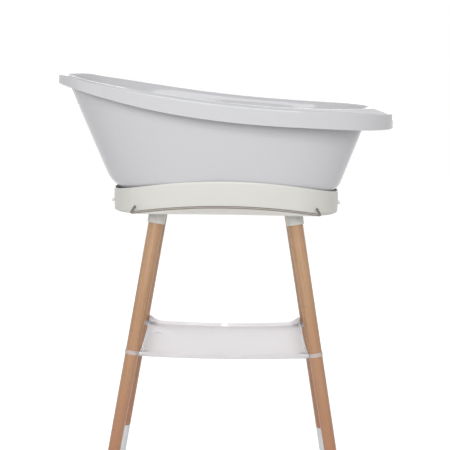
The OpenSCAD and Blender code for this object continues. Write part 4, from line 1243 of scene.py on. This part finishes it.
def light_world(studio):
    """Soft light from all round, and plain white wherever the background is seen."""
    world = bpy.data.worlds.new("white_studio")
    bpy.context.scene.world = world
    world.use_nodes = True
    tree = world.node_tree
    tree.nodes.clear()
    soft = add_node(
        tree, "ShaderNodeBackground", {"Color": (1, 1, 1, 1), "Strength": studio.world_light},
    )
    white = add_node(tree, "ShaderNodeBackground", {"Color": (1, 1, 1, 1), "Strength": 1.0})
    chosen = add_node(
        tree, "ShaderNodeMixShader", {0: seen_share(tree), 1: soft.outputs[0], 2: white.outputs[0]},
    )
    add_node(tree, "ShaderNodeOutputWorld", {"Surface": chosen.outputs[0]})


def lay_floor(studio):
    """White paper floor: seen as white, with the object's soft shadow left on it."""
    bm = bmesh.new()
    bmesh.ops.create_grid(bm, x_segments=8, y_segments=8, size=studio.floor_size / 2)
    floor = loose_object("studio_floor", bm)
    material = bpy.data.materials.new("white_paper")
    material.use_nodes = True
    tree = material.node_tree
    tree.nodes.clear()
    paper, shaded = (
        add_node(tree, "ShaderNodeBsdfDiffuse", {"Color": (white, white, white, 1)})
        for white in (studio.paper_white, studio.paper_shade)
    )
    glow = add_node(
        tree, "ShaderNodeEmission", {"Color": (1, 1, 1, 1), "Strength": studio.floor_glow},
    )
    seen = add_node(tree, "ShaderNodeAddShader", {0: shaded.outputs[0], 1: glow.outputs[0]})
    chosen = add_node(
        tree, "ShaderNodeMixShader", {0: seen_share(tree), 1: paper.outputs[0], 2: seen.outputs[0]},
    )
    add_node(tree, "ShaderNodeOutputMaterial", {"Surface": chosen.outputs[0]})
    floor.data.materials.append(material)


def place_camera(studio):
    """Camera at the photograph's angle: turned, tilted down and rolled a little."""
    data = bpy.data.cameras.new("photo_camera")
    data.sensor_width = 36
    data.lens = studio.focal_length
    camera = bpy.data.objects.new("photo_camera", data)
    turn, tilt, roll = studio.camera_turn, studio.camera_tilt, studio.camera_roll
    ahead = Vector((sin(turn) * cos(tilt), cos(turn) * cos(tilt), -sin(tilt)))
    right = Vector((cos(turn), -sin(turn), 0))
    up = right.cross(ahead)
    rolled_right = right * cos(roll) + up * sin(roll)
    rolled_up = up * cos(roll) - right * sin(roll)
    axes = Matrix((rolled_right, rolled_up, -ahead)).transposed()
    camera.matrix_world = Matrix.Translation(
        (studio.camera_side, -studio.camera_distance, studio.camera_height)
    ) @ axes.to_4x4()
    bpy.context.scene.collection.objects.link(camera)
    bpy.context.scene.camera = camera


class BATH_OT_studio(bpy.types.Operator):
    """Places the camera, the lamps, the white world and the floor"""
    bl_idname = "bath.studio"
    bl_label = "Studio"

    def execute(self, context):
        studio = settings().studio
        context.scene.view_settings.view_transform = "Standard"
        place_camera(studio)
        light_world(studio)
        lay_floor(studio)
        for name, form in SOFT_BOXES.items():
            soft_box(name + "_box", getattr(studio, name + "_light"), *form)
        return {"FINISHED"}


# Panel

class BathSettings(bpy.types.PropertyGroup):
    """All settings of the bathtub and its studio"""
    tub: PointerProperty(type=TubSettings)
    stand: PointerProperty(type=StandSettings)
    shelf: PointerProperty(type=ShelfSettings)
    finish: PointerProperty(type=FinishSettings)
    studio: PointerProperty(type=StudioSettings)


OPERATORS = (
    BATH_OT_studio, BATH_OT_tub, BATH_OT_drain, BATH_OT_apron, BATH_OT_frame, BATH_OT_rail,
    BATH_OT_legs, BATH_OT_caps, BATH_OT_sockets, BATH_OT_shelf,
)


class BATH_PT_panel(bpy.types.Panel):
    """Lists the bathtub's pieces and its settings"""
    bl_label = "Baby bath"
    bl_space_type = "VIEW_3D"
    bl_region_type = "UI"
    bl_category = "Baby bath"

    def draw(self, context):
        layout = self.layout
        for operator in OPERATORS:
            layout.operator(operator.bl_idname)
        chosen = settings()
        for group in (chosen.tub, chosen.stand, chosen.shelf, chosen.finish, chosen.studio):
            box = layout.box()
            for name in group.__annotations__:
                box.prop(group, name)


CLASSES = (
    TubSettings, StandSettings, ShelfSettings, FinishSettings, StudioSettings, BathSettings,
    *OPERATORS, BATH_PT_panel,
)


def register():
    for item in CLASSES:
        bpy.utils.register_class(item)
    bpy.types.Scene.baby_bath = PointerProperty(type=BathSettings)


def unregister():
    del bpy.types.Scene.baby_bath
    for item in reversed(CLASSES):
        bpy.utils.unregister_class(item)


def main():
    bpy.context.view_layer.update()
    register()
    for operator in OPERATORS:
        group, name = operator.bl_idname.split(".")
        getattr(getattr(bpy.ops, group), name)()


if __name__ == "__main__":
    main()
